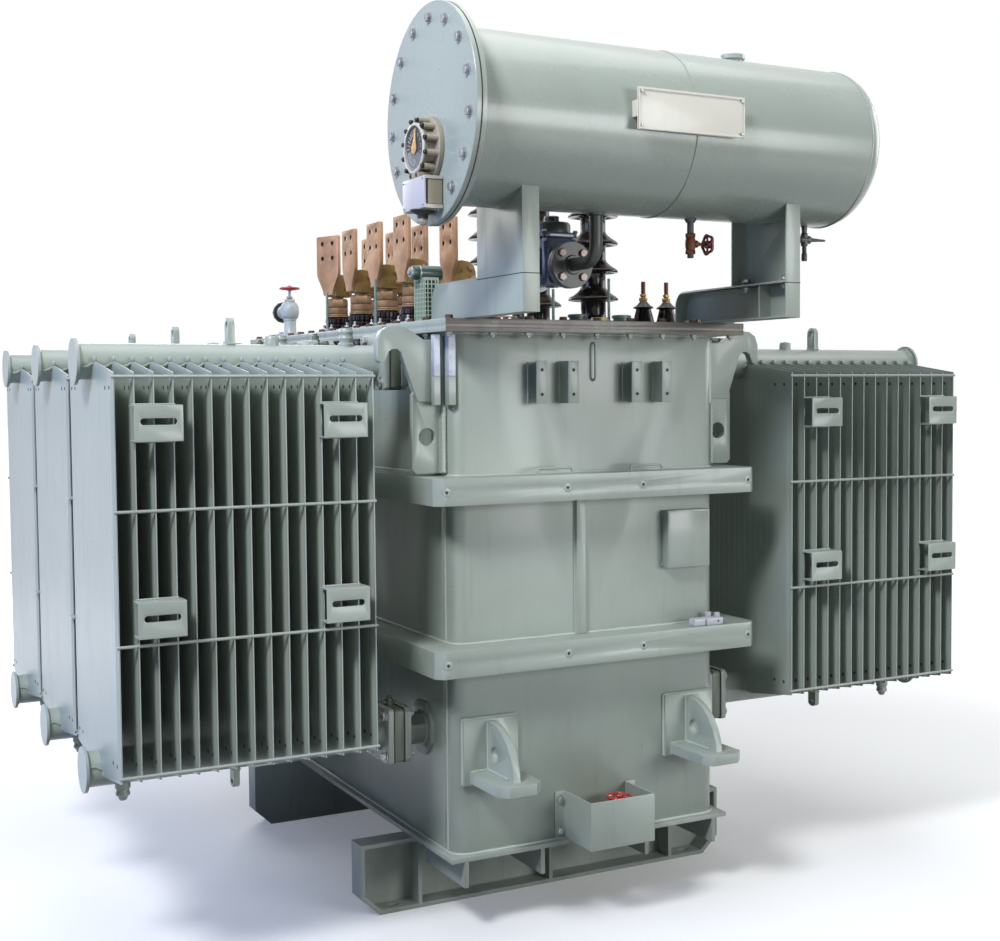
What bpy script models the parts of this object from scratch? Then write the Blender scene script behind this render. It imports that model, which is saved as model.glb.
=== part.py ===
"""Oil-filled power transformer with side radiators and a conservator, in metres, +Z up.

The tank's centre is the working origin: X runs across the front, Y runs from front to back and
Z starts at the floor. Every piece is moved by TANK_Y at the end, which centres the whole outline.
"""
import math

import bmesh
import bpy
from mathutils import Matrix, Vector

# Clear space and plate gauges
GAP = 0.0004
PLATE = 0.006
HEAVY = 0.012
TANK_Y = 0.1665

# Tank
TANK_HALF_X = 0.415
TANK_HALF_Y = 0.758
CORNER_R = 0.040
SEAM_RUN = 0.030
BEAM_H = 0.200
FLOOR_T = 0.012
FLOOR_LIP = 0.022
RIM_Z = 1.5910
RIM_T = 0.012
SEAL_T = 0.0060
COVER_T = 0.0150
COVER_LIP_X = 0.048
COVER_LIP_Y = 0.073

# Base beams and the ribs under the tank
BEAM_FLANGE = 0.070
BEAM_WEB = 0.0085
BEAM_FLANGE_T = 0.0115
BEAM_OUT = 0.175
BEAM_HALF = TANK_HALF_X + BEAM_OUT
BEAM_TOE = (0.054, 0.051)
BEAM_INSET = 0.311
BEAM_WEB_Y = TANK_HALF_Y - BEAM_INSET
SLOT_INSET = 0.105
SLOT_X = BEAM_HALF - SLOT_INSET
RIB_INSET = 0.027
RIB_X = (0.160, TANK_HALF_X - RIB_INSET)
RIB_T = 0.012
RIB_H = 0.070

# Stiffener bands
BAND_REACH = 0.085
BAND_H = 0.070
BAND_RISE = 0.503
BAND_DROP = 0.445
BAND_LOWS = (BEAM_H + BAND_RISE, RIM_Z - BAND_DROP)
BAND_Z = tuple((low, low + BAND_H) for low in BAND_LOWS)
BAND_CHAMFER = 0.021
BAND_HOLE_OUT = 0.055
BAND_HOLE_X = (TANK_HALF_X + BAND_HOLE_OUT, 0.118)
BAND_HOLE_R = 0.010

# Radiators
FINS = 15
FIN_PITCH = 0.045
FIN_T = 0.010
FIN_EDGE_T = 0.003
FIN_TAPER = 0.016
ROW_INSET = 0.208
RADIATOR_PITCH = TANK_HALF_Y - ROW_INSET
ROW_CLEAR = 0.030
FIN_HALF = (RADIATOR_PITCH - ROW_CLEAR) / 2
HEADER_R = 0.04445
HEADER_RISE = 0.317
HEADER_DROP = 0.074
HEADER_Z = (BEAM_H + HEADER_RISE, RIM_Z - HEADER_DROP)
FIN_FOOT = 0.019
FIN_SHOULDER = 0.030
FIN_Z = (HEADER_Z[0] + FIN_FOOT, HEADER_Z[1] - FIN_SHOULDER)
HORN_Y = 0.059
HORN_RISE = 0.029
STUB = 0.133
FLANGE_X = TANK_HALF_X + STUB
FLANGE_HALF = 0.0750
FLANGE_CUT = 0.012
FLANGE_T = 0.018
VALVE_T = 0.030
VALVE_HALF = 0.0710
COLLAR_R = 0.077
COLLAR_T = 0.008
NECK_RUN = 0.105
FIN_FIRST = FLANGE_X + NECK_RUN
DISC_R = 0.0575
DISC_OUT = 0.042
DISC_X = FIN_FIRST + FIN_PITCH * (FINS - 1) + DISC_OUT
BRACKET_IN = (0.090, 0.541)
BRACKET_X = tuple(FIN_FIRST + inset for inset in BRACKET_IN)
BRACKET_RISE = 0.404
BRACKET_DROP = 0.1415
BRACKET_Z = (HEADER_Z[0] + BRACKET_RISE, HEADER_Z[1] - BRACKET_DROP)
BRACKET_W = 0.112
BRACKET_H = 0.084
BRACKET_OUT = 0.050
SLOT_LONG = 0.084
SLOT_R = 0.0075

# Lifting hooks and jacking lugs, measured outward from the wall and from the rim
HOOK_IN = 0.044
HOOK_T = 0.025
HOOK_LEN = 0.180
HOOK_NOSE = ((0.110, 0.013), (0.130, 0.017), (0.155, 0.015), (0.175, 0.003), (0.185, -0.021),
             (0.187, -0.061), (0.185, -0.073), (0.177, -0.080), (0.167, -0.077), (0.160, -0.063),
             (0.155, -0.051), (0.145, -0.044), (0.131, -0.044), (0.121, -0.052))
HOOK_PAD_DROP = 0.009
HOOK_PAD_LEN = 0.359
HOOK_PAD_W = 0.072
LUG_OUT = 0.090
LUG_TOP = 0.151
LUG_HOLE = (0.047, 0.272)
LUG_HOLE_R = 0.023
JACK_INSET = 0.100
JACK_RISE = 0.234
JACK_OUT = 0.195
JACK_PAD_T = 0.028
JACK_PAD_HALF = 0.063
JACK_CORNER = 0.024

# Conservator
COVER_Z = RIM_Z + RIM_T + SEAL_T
SEAL_LIP = 0.004
TOP_Z = COVER_Z + COVER_T
ROUND = 24
SHELL_OUT = 0.272
SHELL_Y = -TANK_HALF_Y - SHELL_OUT
SHELL_RISE = 0.4635
SHELL_Z = TOP_Z + SHELL_RISE
SHELL_R = 0.2075
SHELL_T = 0.005
SHELL_END = -0.590
SHELL_STRAIGHT = 0.580
HEAD_DEPTH = 0.090
SHELL_LOW = SHELL_Z - SHELL_R * math.cos(math.pi / ROUND)
END_LIP = 0.051
END_FLANGE_R = SHELL_R + END_LIP
END_FLANGE_T = 0.013
SUPPORT_INSET = 0.005
SUPPORT_X = TANK_HALF_X - SUPPORT_INSET
SUPPORT_W = 0.046
SUPPORT_HALF_Y = 0.122
BASE_H = 0.097
BASE_REACH = 0.128
BASE_BACK = -TANK_HALF_Y + BASE_REACH
BASE_ROUND = 0.042
GAUGE_DROP = 0.0835
DRAIN_DROP = 0.0648
RELAY_DROP = 0.1198
RELAY_SET = 0.131
RELAY_LONG = 0.200

# Bushings
LV_INSET = (0.052, 0.195)
LV_X = tuple(inset - TANK_HALF_X for inset in LV_INSET)
LV_START = 0.358
LV_PITCH = 0.205
LV_Y = tuple(LV_START - TANK_HALF_Y + LV_PITCH * k for k in range(4))
HV_X = 0.120
HV_START = 0.183
HV_PITCH = 0.335
HV_Y = tuple(HV_START - TANK_HALF_Y + HV_PITCH * k for k in range(3))
SMALL_INSET = (0.096, 0.015)
SMALL_X = tuple(TANK_HALF_X - inset for inset in SMALL_INSET)
SMALL_START = 0.230
SMALL_Y = SMALL_START - TANK_HALF_Y

PAINT = (0.44, 0.49, 0.44)
STEEL = (0.52, 0.53, 0.53)
PORCELAIN = (0.035, 0.018, 0.015)
BRASS = (0.50, 0.31, 0.14)
RED = (0.45, 0.02, 0.02)
DARK = (0.05, 0.06, 0.06)
CREAM = (0.72, 0.67, 0.58)

MATERIALS = {}


def material(colour, metallic=0.0, roughness=0.45):
    """One named Principled material per colour."""
    name = "paint_" + "_".join(f"{round(c * 100):02d}" for c in colour)
    if name not in MATERIALS:
        made = bpy.data.materials.new(name)
        made.use_nodes = True
        shader = made.node_tree.nodes["Principled BSDF"]
        shader.inputs["Base Color"].default_value = (*colour, 1.0)
        shader.inputs["Metallic"].default_value = metallic
        shader.inputs["Roughness"].default_value = roughness
        MATERIALS[name] = made
    return MATERIALS[name]


def to_mesh(bm, smooth=False):
    """Turn a bmesh into a scene object with outward faces."""
    bmesh.ops.recalc_face_normals(bm, faces=bm.faces)
    for face in bm.faces:
        face.smooth = smooth
    mesh = bpy.data.meshes.new("solid")
    bm.to_mesh(mesh)
    bm.free()
    obj = bpy.data.objects.new("solid", mesh)
    bpy.context.scene.collection.objects.link(obj)
    return obj


AXES = {"x": (1, 2, 0), "y": (0, 2, 1), "z": (0, 1, 2)}


def prism(outline, low, high, axis):
    """A flat outline pushed along an axis; the outline has the two other axes in X, Y, Z order."""
    u, v, w = AXES[axis]
    bm = bmesh.new()
    rings = []
    for level in (low, high):
        ring = []
        for a, b in outline:
            point = [0.0, 0.0, 0.0]
            point[u], point[v], point[w] = a, b, level
            ring.append(bm.verts.new(point))
        rings.append(ring)
    count = len(outline)
    bm.faces.new(rings[0])
    bm.faces.new(rings[1])
    for i in range(count):
        j = (i + 1) % count
        bm.faces.new((rings[0][i], rings[0][j], rings[1][j], rings[1][i]))
    return to_mesh(bm)


def block(low, high):
    """A plain box between two corners."""
    outline = [(low[0], low[1]), (high[0], low[1]), (high[0], high[1]), (low[0], high[1])]
    return prism(outline, low[2], high[2], "z")


def arc(centre, radius, start, end, count):
    """Points on an arc, angles in degrees."""
    steps = [math.radians(start + (end - start) * i / count) for i in range(count + 1)]
    return [(centre[0] + radius * math.cos(t), centre[1] + radius * math.sin(t)) for t in steps]


def lathe(profile, centre, axis="z", sides=ROUND, closed=False):
    """A profile of (radius, height) points turned about an axis through centre."""
    u, v, w = AXES[axis]
    bm = bmesh.new()
    rings = []
    for radius, height in profile:
        ring = []
        for i in range(1 if radius == 0 else sides):
            turn = 2 * math.pi * (i + 0.5) / sides
            point = [0.0, 0.0, 0.0]
            point[u] = centre[u] + radius * math.cos(turn)
            point[v] = centre[v] + radius * math.sin(turn)
            point[w] = centre[w] + height
            ring.append(bm.verts.new(point))
        rings.append(ring)
    pairs = list(zip(rings, rings[1:] + rings[:1])) if closed else list(zip(rings, rings[1:]))
    for one, two in pairs:
        for i in range(sides):
            j = (i + 1) % sides
            corners = [one[i % len(one)], one[j % len(one)], two[j % len(two)], two[i % len(two)]]
            bm.faces.new(list(dict.fromkeys(corners)))
    return to_mesh(bm, smooth=True)


def corners8(half, cut):
    """Eight corners of a square with its corners cut off, in turning order."""
    near = half - cut
    return [(half, near), (near, half), (-near, half), (-half, near),
            (-half, -near), (-near, -half), (near, -half), (half, -near)]


def circle8(radius):
    """Eight points of a round section, in the same turning order."""
    turns = [math.pi * (k + 0.5) / 4 for k in range(8)]
    return [(radius * math.cos(t), radius * math.sin(t)) for t in turns]


def stack(rings, centre, axis="x"):
    """Rings of (outline, height) along an axis, joined one to the next and closed at both ends."""
    u, v, w = AXES[axis]
    bm = bmesh.new()
    loops = []
    for outline, height in rings:
        loop = []
        for a, b in outline:
            point = [0.0, 0.0, 0.0]
            point[u] = centre[u] + a
            point[v] = centre[v] + b
            point[w] = centre[w] + height
            loop.append(bm.verts.new(point))
        loops.append(loop)
    bm.faces.new(loops[0])
    bm.faces.new(loops[-1])
    for one, two in zip(loops, loops[1:]):
        for i in range(len(one)):
            j = (i + 1) % len(one)
            bm.faces.new((one[i], one[j], two[j], two[i]))
    return to_mesh(bm)


def rod(start, length, radius, axis="z", sides=16):
    """A round bar that starts at a point and runs along an axis."""
    return lathe([(0, 0), (radius, 0), (radius, length), (0, length)], start, axis, sides)


def elbow(path, radius, sides=10):
    """A round pipe along a path of points, with mitred joints."""
    points = [Vector(p) for p in path]
    bm = bmesh.new()
    rings = []
    side = Vector((1, 0, 0))
    for i, point in enumerate(points):
        before = (point - points[i - 1]).normalized() if i else None
        after = (points[i + 1] - point).normalized() if i + 1 < len(points) else None
        along = ((before or after) + (after or before)).normalized()
        stretch = 1 / max(along.dot(after or before), 0.5)
        other = along.cross(side).normalized()
        ring = []
        for k in range(sides):
            turn = 2 * math.pi * k / sides
            offset = side * math.cos(turn) * radius + other * math.sin(turn) * radius * stretch
            ring.append(bm.verts.new(point + offset))
        rings.append(ring)
    bm.faces.new(rings[0])
    bm.faces.new(rings[-1])
    for one, two in zip(rings, rings[1:]):
        for k in range(sides):
            j = (k + 1) % sides
            bm.faces.new((one[k], one[j], two[j], two[k]))
    return to_mesh(bm, smooth=True)


def combine(base, tools, operation):
    """Join tools to a body, or take them out of it, and clean flat faces."""
    for tool in tools:
        step = base.modifiers.new("step", "BOOLEAN")
        step.operation = operation
        step.solver = "EXACT"
        step.object = tool
    graph = bpy.context.evaluated_depsgraph_get()
    mesh = bpy.data.meshes.new_from_object(base.evaluated_get(graph))
    base.modifiers.clear()
    base.data = mesh
    for tool in tools:
        bpy.data.objects.remove(tool, do_unlink=True)
    return base


def tidy(mesh):
    """Merge doubled corners and dissolve edges inside flat faces."""
    bm = bmesh.new()
    bm.from_mesh(mesh)
    bmesh.ops.remove_doubles(bm, verts=bm.verts, dist=1e-6)
    bmesh.ops.dissolve_limit(bm, angle_limit=0.002, verts=bm.verts, edges=bm.edges)
    bm.to_mesh(mesh)
    bm.free()


def piece(name, parts, colour, cuts=(), metallic=0.0, roughness=0.45):
    """Join the parts into one named node, take the cuts out of it and paint it."""
    body, *others = parts
    if others:
        combine(body, others, "UNION")
    if cuts:
        combine(body, list(cuts), "DIFFERENCE")
    if others or cuts:
        tidy(body.data)
    body.name = name
    body.data.name = name
    body.data.materials.clear()
    body.data.materials.append(material(colour, metallic, roughness))
    return body


def twin(source, name, move=(0, 0, 0), mirror=None):
    """A copy of a node, moved or mirrored about the tank's centre plane."""
    mesh = source.data.copy()
    scale = [1, 1, 1]
    if mirror:
        for letter in mirror:
            scale["xyz".index(letter)] = -1
    mesh.transform(Matrix.Translation(move) @ Matrix.Diagonal((*scale, 1)))
    if scale[0] * scale[1] < 0:
        mesh.flip_normals()
    obj = bpy.data.objects.new(name, mesh)
    mesh.name = name
    bpy.context.scene.collection.objects.link(obj)
    return obj


def stadium(centre, long, radius, count=4):
    """Outline of a slot with round ends."""
    u, v = centre
    reach = long / 2 - radius
    right = arc((u + reach, v), radius, -90, 90, count)
    left = arc((u - reach, v), radius, 90, 270, count)
    return right + left


def beams():
    """Two channel beams across the tank, open side outward, toes cut at both ends."""
    toe_x, toe_z = BEAM_TOE
    web = BEAM_WEB_Y
    tip = web + BEAM_FLANGE
    top = BEAM_H
    half = BEAM_HALF
    outer = [(-half, top), (-half, toe_z), (-half + toe_x, 0), (half - toe_x, 0), (half, toe_z), (half, top)]
    t = BEAM_FLANGE_T
    cut = t * 0.6
    inner = [(-half + t, top - t), (-half + t, toe_z + cut), (-half + toe_x + cut, t),
             (half - toe_x - cut, t), (half - t, toe_z + cut), (half - t, top - t)]
    front = prism(outer, -tip, -web, "y")
    pocket = prism(inner, -tip - t, -web - BEAM_WEB, "y")
    combine(front, [pocket], "DIFFERENCE")
    ties = [block((x - t / 2, -tip + GAP, t / 2), (x + t / 2, -web - BEAM_WEB / 2, top - t / 2))
            for x in (-TANK_HALF_X, 0.0, TANK_HALF_X)]
    slots = [prism(stadium((x, -(tip + web + BEAM_WEB) / 2), 0.036, 0.009), -t, 2 * t, "z")
             for x in (-SLOT_X, SLOT_X)]
    body = piece("base_beam_front", [front, *ties], PAINT, slots)
    twin(body, "base_beam_rear", mirror="y")


def floor_plate():
    """The tank's bottom plate with the ribs welded under its edges."""
    x, y = TANK_HALF_X + FLOOR_LIP, TANK_HALF_Y + FLOOR_LIP
    low = BEAM_H + GAP
    parts = [block((-x, -y, low), (x, y, low + FLOOR_T))]
    inner = BEAM_WEB_Y + BEAM_FLANGE + 0.010
    for side in (-1, 1):
        for rib in RIB_X:
            for flip in (-1, 1):
                ends = sorted((side * inner, side * (y - 0.002)))
                across = sorted((flip * rib, flip * (rib + RIB_T)))
                parts.append(block((across[0], ends[0], low - RIB_H),
                                   (across[1], ends[1], low + FLOOR_T / 2)))
    piece("tank_bottom", parts, PAINT)


def wall_brackets():
    """Angle brackets high on the front wall: two pairs, webs back to back."""
    reach = 0.050
    face = -TANK_HALF_Y - reach
    foot, head = RIM_Z - 0.187, RIM_Z - 0.074
    parts = []
    for low, web_on_right in ((-0.191, True), (-0.095, False), (0.105, True), (0.203, False)):
        high = low + 0.033
        web = high - 0.004 if web_on_right else low
        parts.append(block((low, face, foot), (high, face + 0.004, head)))
        parts.append(block((web, face + 0.002, foot), (web + 0.004, -TANK_HALF_Y + 0.002, head)))
    return parts


def front_wall():
    """Front wall bent round both corners, with its rib and brackets; the rear wall mirrors it."""
    x, y, r = TANK_HALF_X, TANK_HALF_Y, CORNER_R
    low, high = BEAM_H + FLOOR_T + 2 * GAP, RIM_Z - GAP
    back = -y + r + SEAM_RUN
    outer = [(-x, back), *arc((-x + r, -y + r), r, 180, 270, 4), *arc((x - r, -y + r), r, 270, 360, 4),
             (x, back)]
    s = r - PLATE
    inner = [(x - PLATE, back), *arc((x - r, -y + r), s, 360, 270, 4), *arc((-x + r, -y + r), s, 270, 180, 4),
             (-x + PLATE, back)]
    plain = prism(outer + inner, low, high, "z")
    rear = twin(plain, "rear", mirror="y")
    rib = block((-0.050, -y - HEAVY, BAND_Z[0][1] + GAP), (-0.022, -y + PLATE / 2, BAND_Z[1][0] - GAP))
    piece("front_wall", [plain, rib, *wall_brackets()], PAINT)
    rib_back = block((-0.050, y - PLATE / 2, BAND_Z[0][1] + GAP), (-0.022, y + HEAVY, BAND_Z[1][0] - GAP))
    piece("rear_wall", [rear, rib_back], PAINT)


def side_wall():
    """Side wall with six header stubs, each with its collar, square flange and shut-off valve body."""
    y = TANK_HALF_Y - CORNER_R - SEAM_RUN - GAP
    low, high = BEAM_H + FLOOR_T + 2 * GAP, RIM_Z - GAP
    parts = [block((-TANK_HALF_X, -y, low), (-TANK_HALF_X + PLATE, y, high))]
    start = -FLANGE_X + FLANGE_T + GAP
    end = start + VALVE_T
    wall = -TANK_HALF_X
    valve, flange = corners8(VALVE_HALF, FLANGE_CUT), corners8(FLANGE_HALF, FLANGE_CUT)
    pipe, collar = circle8(HEADER_R), circle8(COLLAR_R)
    rings = [(valve, start), (valve, end), (flange, end), (flange, end + FLANGE_T), (pipe, end + FLANGE_T),
             (pipe, wall - COLLAR_T), (collar, wall - COLLAR_T), (collar, wall + PLATE / 2)]
    for row in (-1, 0, 1):
        for z in HEADER_Z:
            parts.append(stack(rings, (0, row * RADIATOR_PITCH, z)))
    left = piece("left_wall", parts, PAINT)
    twin(left, "right_wall", mirror="x")


def ring_outline(half_x, half_y, chamfer):
    """Rectangle with cut corners."""
    a, b, c = half_x, half_y, chamfer
    return [(-a, -b + c), (-a + c, -b), (a - c, -b), (a, -b + c),
            (a, b - c), (a - c, b), (-a + c, b), (-a, b - c)]


def rounded(half_x, half_y, radius, count=4):
    """Rectangle with round corners."""
    a, b, r = half_x - radius, half_y - radius, radius
    return (arc((-a, -b), r, 180, 270, count) + arc((a, -b), r, 270, 360, count)
            + arc((a, b), r, 0, 90, count) + arc((-a, b), r, 90, 180, count))


def bands():
    """Two channel bands round the tank, open towards the wall."""
    for name, (low, high) in zip(("lower_band", "upper_band"), BAND_Z):
        x, y = TANK_HALF_X + BAND_REACH, TANK_HALF_Y + BAND_REACH
        body = prism(ring_outline(x, y, BAND_CHAMFER), low, high, "z")
        wall = prism(rounded(TANK_HALF_X + GAP, TANK_HALF_Y + GAP, CORNER_R), low - 0.01, high + 0.01, "z")
        pocket = prism(ring_outline(x - PLATE, y - PLATE, BAND_CHAMFER - 0.003),
                       low + PLATE, high - PLATE, "z")
        middle = (low + high) / 2
        holes = [rod((s * hx, -y - 0.01, middle), 2 * y + 0.02, BAND_HOLE_R, "y", 8)
                 for hx in BAND_HOLE_X for s in (-1, 1)]
        piece(name, [body], PAINT, [wall, pocket, *holes])


def rim_and_cover():
    """Rim flange on the walls and the bolted cover above it."""
    x, y = TANK_HALF_X + COVER_LIP_X, TANK_HALF_Y + COVER_LIP_Y
    hole = prism(rounded(TANK_HALF_X - PLATE, TANK_HALF_Y - PLATE, CORNER_R - PLATE),
                 RIM_Z - 0.01, TOP_Z, "z")
    piece("tank_rim", [block((-x, -y, RIM_Z), (x, y, RIM_Z + RIM_T))], PAINT, [hole])
    hole = prism(rounded(TANK_HALF_X, TANK_HALF_Y, CORNER_R), RIM_Z - 0.01, TOP_Z, "z")
    low, high, lip = RIM_Z + RIM_T + GAP, COVER_Z - GAP, SEAL_LIP
    piece("cover_gasket", [block((lip - x, lip - y, low), (x - lip, y - lip, high))], DARK, [hole])
    piece("cover", [block((-x, -y, COVER_Z), (x, y, TOP_Z))], PAINT)


def lifting_hooks():
    """Hook plates at the tank's corners with a pad on the wall and a drilled lug below."""
    plane = HOOK_IN - TANK_HALF_Y
    wall = -TANK_HALF_X - GAP
    edge = -TANK_HALF_X - COVER_LIP_X - 0.010
    root, under = wall - 0.010, RIM_Z - 0.018
    nose = [(-TANK_HALF_X - out, RIM_Z + rise) for out, rise in HOOK_NOSE]
    hook = [(root, RIM_Z - HOOK_LEN), (root, under), (edge, under), (edge - 0.030, RIM_Z + 0.001), *nose,
            (-TANK_HALF_X - 0.075, RIM_Z - HOOK_LEN)]
    plate = prism(hook, plane, plane + HOOK_T, "y")
    top = RIM_Z - HOOK_PAD_DROP
    foot = top - HOOK_PAD_LEN
    pad = block((wall - HEAVY, plane - 0.012, foot), (wall, plane - 0.012 + HOOK_PAD_W, top))
    out, head, cut = -TANK_HALF_X - LUG_OUT, RIM_Z - LUG_TOP, 0.010
    lug = prism([(wall - HEAVY / 2, foot), (wall - HEAVY / 2, head), (out + cut, head), (out, head - cut),
                 (out, foot + cut), (out + cut, foot)], plane + 0.008, plane + 0.022, "y")
    reach, drop = LUG_HOLE
    hole = rod((-TANK_HALF_X - reach, plane - 0.01, RIM_Z - drop), 0.06, LUG_HOLE_R, "y", 16)
    left = piece("lifting_hook_front_left", [pad, plate, lug], PAINT, [hole])
    twin(left, "lifting_hook_front_right", mirror="x")
    twin(left, "lifting_hook_rear_left", mirror="y")
    twin(left, "lifting_hook_rear_right", mirror="xy")


def jacking_lugs():
    """Jacking brackets low on the front and rear walls."""
    face = -TANK_HALF_Y - GAP
    x = JACK_INSET - TANK_HALF_X
    pad_z = BEAM_H + JACK_RISE
    back = block((x - 0.080, face - HEAVY, pad_z - 0.035), (x + 0.080, face, pad_z + 0.140))
    side, tip = JACK_PAD_HALF, face - JACK_OUT
    pad = prism([(x - side, face - HEAVY / 2), (x - side, tip + JACK_CORNER), (x - side + JACK_CORNER, tip),
                 (x + side - JACK_CORNER, tip), (x + side, tip + JACK_CORNER), (x + side, face - HEAVY / 2)],
                pad_z - JACK_PAD_T, pad_z, "z")
    curve = arc((face - HEAVY - 0.012, pad_z - 0.006), 0.138, 90, 180, 6)
    gusset = prism([(face - HEAVY / 2, pad_z - 0.006), (face - HEAVY / 2, pad_z + 0.132), *curve], x - 0.010,
                   x + 0.010, "x")
    hole = rod((x - 0.03, face - 0.050, pad_z + 0.048), 0.06, 0.022, "x", 16)
    left = piece("jacking_lug_front_left", [back, pad, gusset], PAINT, [hole])
    twin(left, "jacking_lug_front_right", mirror="x")
    twin(left, "jacking_lug_rear_left", mirror="y")
    twin(left, "jacking_lug_rear_right", mirror="xy")


def handwheel(name, centre, axis, radius, stem):
    """Spoked wheel that runs on its stem."""
    u, v, w = AXES[axis]
    rim = [(radius - 0.004, 0.0), (radius, -0.004), (radius + 0.004, 0.0), (radius, 0.004)]
    parts = [lathe(rim, centre, axis, 12, closed=True)]
    hub = [(stem + 0.0006, -0.007), (stem + 0.007, -0.007), (stem + 0.007, 0.007), (stem + 0.0006, 0.007)]
    parts.append(lathe(hub, centre, axis, 8, closed=True))
    for k in range(4):
        turn = math.radians(45 + 90 * k)
        way = (math.cos(turn), math.sin(turn))
        across = (-way[1] * 0.003, way[0] * 0.003)
        near, far = stem + 0.004, radius
        corners = [(centre[u] + way[0] * r + across[0] * s, centre[v] + way[1] * r + across[1] * s)
                   for r, s in ((near, -1), (far, -1), (far, 1), (near, 1))]
        parts.append(prism(corners, centre[w] - 0.0022, centre[w] + 0.0022, axis))
    piece(name, parts, RED)


def drain_valve():
    """Tank drain valve in its open-topped guard, with a handwheel on an upright stem."""
    x, z = 0.040, BEAM_H + 0.062
    face = -TANK_HALF_Y - GAP
    body_y = face - 0.078
    pipe = rod((x, body_y, z), 0.078, 0.017, "y", 12)
    body = lathe([(0, -0.034), (0.022, -0.034), (0.026, -0.028), (0.026, 0.020), (0.018, 0.026), (0.018, 0.034),
                  (0.0095, 0.036), (0.0095, 0.048), (0.005, 0.048), (0.005, 0.078), (0, 0.078)],
                 (x, body_y, z), "z", 12)
    piece("drain_valve", [body, pipe], BRASS, metallic=0.9)
    handwheel("drain_handwheel", (x, body_y, z + 0.066), "z", 0.032, 0.005)
    low, high, out = BEAM_H + 0.014, BEAM_H + 0.144, 0.150
    left, right, t, tab = -0.090, 0.110, 0.004, 0.028
    guard = [(left - tab, face), (left - tab, face - t), (left, face - t), (left, face - out), (right, face - out),
             (right, face - t), (right + tab, face - t), (right + tab, face), (right - t, face),
             (right - t, face - out + t), (left + t, face - out + t), (left + t, face)]
    piece("valve_guard", [prism(guard, low, high, "z")], PAINT)


def plate_holder():
    """Shallow tray on the front wall for the rating plate."""
    face = -TANK_HALF_Y - GAP
    right, foot = TANK_HALF_X - CORNER_R, BAND_Z[0][1] + 0.164
    left, head, wall = right - 0.141, foot + 0.163, 0.004
    tray = block((left, face - 0.030, foot), (right, face, head))
    hollow = block((left + wall, face - 0.026, foot + wall), (right - wall, face + 0.01, head - wall))
    piece("rating_plate_holder", [tray], PAINT, [hollow])


def fan_brackets():
    """Slotted channel brackets across the fins' outer edges, and the slots to cut in them."""
    face = -FIN_HALF
    parts, cuts = [], []
    for x in BRACKET_X:
        for z in BRACKET_Z:
            low, high, t = z - BRACKET_H / 2, z + BRACKET_H / 2, 0.003
            out = face - BRACKET_OUT
            profile = [(face + 0.002, low), (out, low), (out, high), (face + 0.002, high), (face + 0.002, high - t),
                       (out + t, high - t), (out + t, low + t), (face + 0.002, low + t)]
            parts.append(prism(profile, -x - BRACKET_W / 2, -x + BRACKET_W / 2, "x"))
            slot = stadium((-x, z + 0.004), SLOT_LONG, SLOT_R, 2)
            cuts.append(prism(slot, out - 0.01, out + t + 0.01, "y"))
    return parts, cuts


def fins_and_headers():
    """Pressed fins that saddle a top and a bottom header, for a radiator at the tank's middle."""
    first = -FIN_FIRST - FIN_PITCH * (FINS - 1)
    low, high = FIN_Z

    def outline(inset):
        half, lift = FIN_HALF - inset, HORN_RISE * inset / (FIN_HALF - HORN_Y)
        return [(-half, low - lift), (-HORN_Y, low - HORN_RISE), (HORN_Y, low - HORN_RISE), (half, low - lift),
                (half, high + lift), (HORN_Y, high + HORN_RISE), (-HORN_Y, high + HORN_RISE), (-half, high + lift)]

    seam, body = outline(0.0), outline(FIN_TAPER)
    levels = ((body, -FIN_T / 2), (seam, -FIN_EDGE_T / 2), (seam, FIN_EDGE_T / 2), (body, FIN_T / 2))
    disc, pipe, flange = circle8(DISC_R), circle8(HEADER_R), corners8(FLANGE_HALF, FLANGE_CUT)
    rings = [(disc, -DISC_X), (disc, HEAVY - DISC_X), (pipe, HEAVY - DISC_X), (pipe, -FLANGE_X),
             (flange, -FLANGE_X), (flange, FLANGE_T - FLANGE_X)]
    parts = [stack(rings, (0, 0, z)) for z in HEADER_Z]
    parts += [stack(levels, (first + FIN_PITCH * k, 0, 0)) for k in range(FINS)]
    return parts


def radiators():
    """Three radiators on each side of the tank; the end ones carry slotted fan brackets."""
    middle = piece("radiator_middle_left", fins_and_headers(), PAINT)
    twin(middle, "radiator_middle_right", mirror="x")
    brackets, slots = fan_brackets()
    end = piece("radiator_front_left", fins_and_headers() + brackets, PAINT, slots)
    end.data.transform(Matrix.Translation((0, -RADIATOR_PITCH, 0)))
    twin(end, "radiator_front_right", mirror="x")
    twin(end, "radiator_rear_left", mirror="y")
    twin(end, "radiator_rear_right", mirror="xy")


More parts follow.
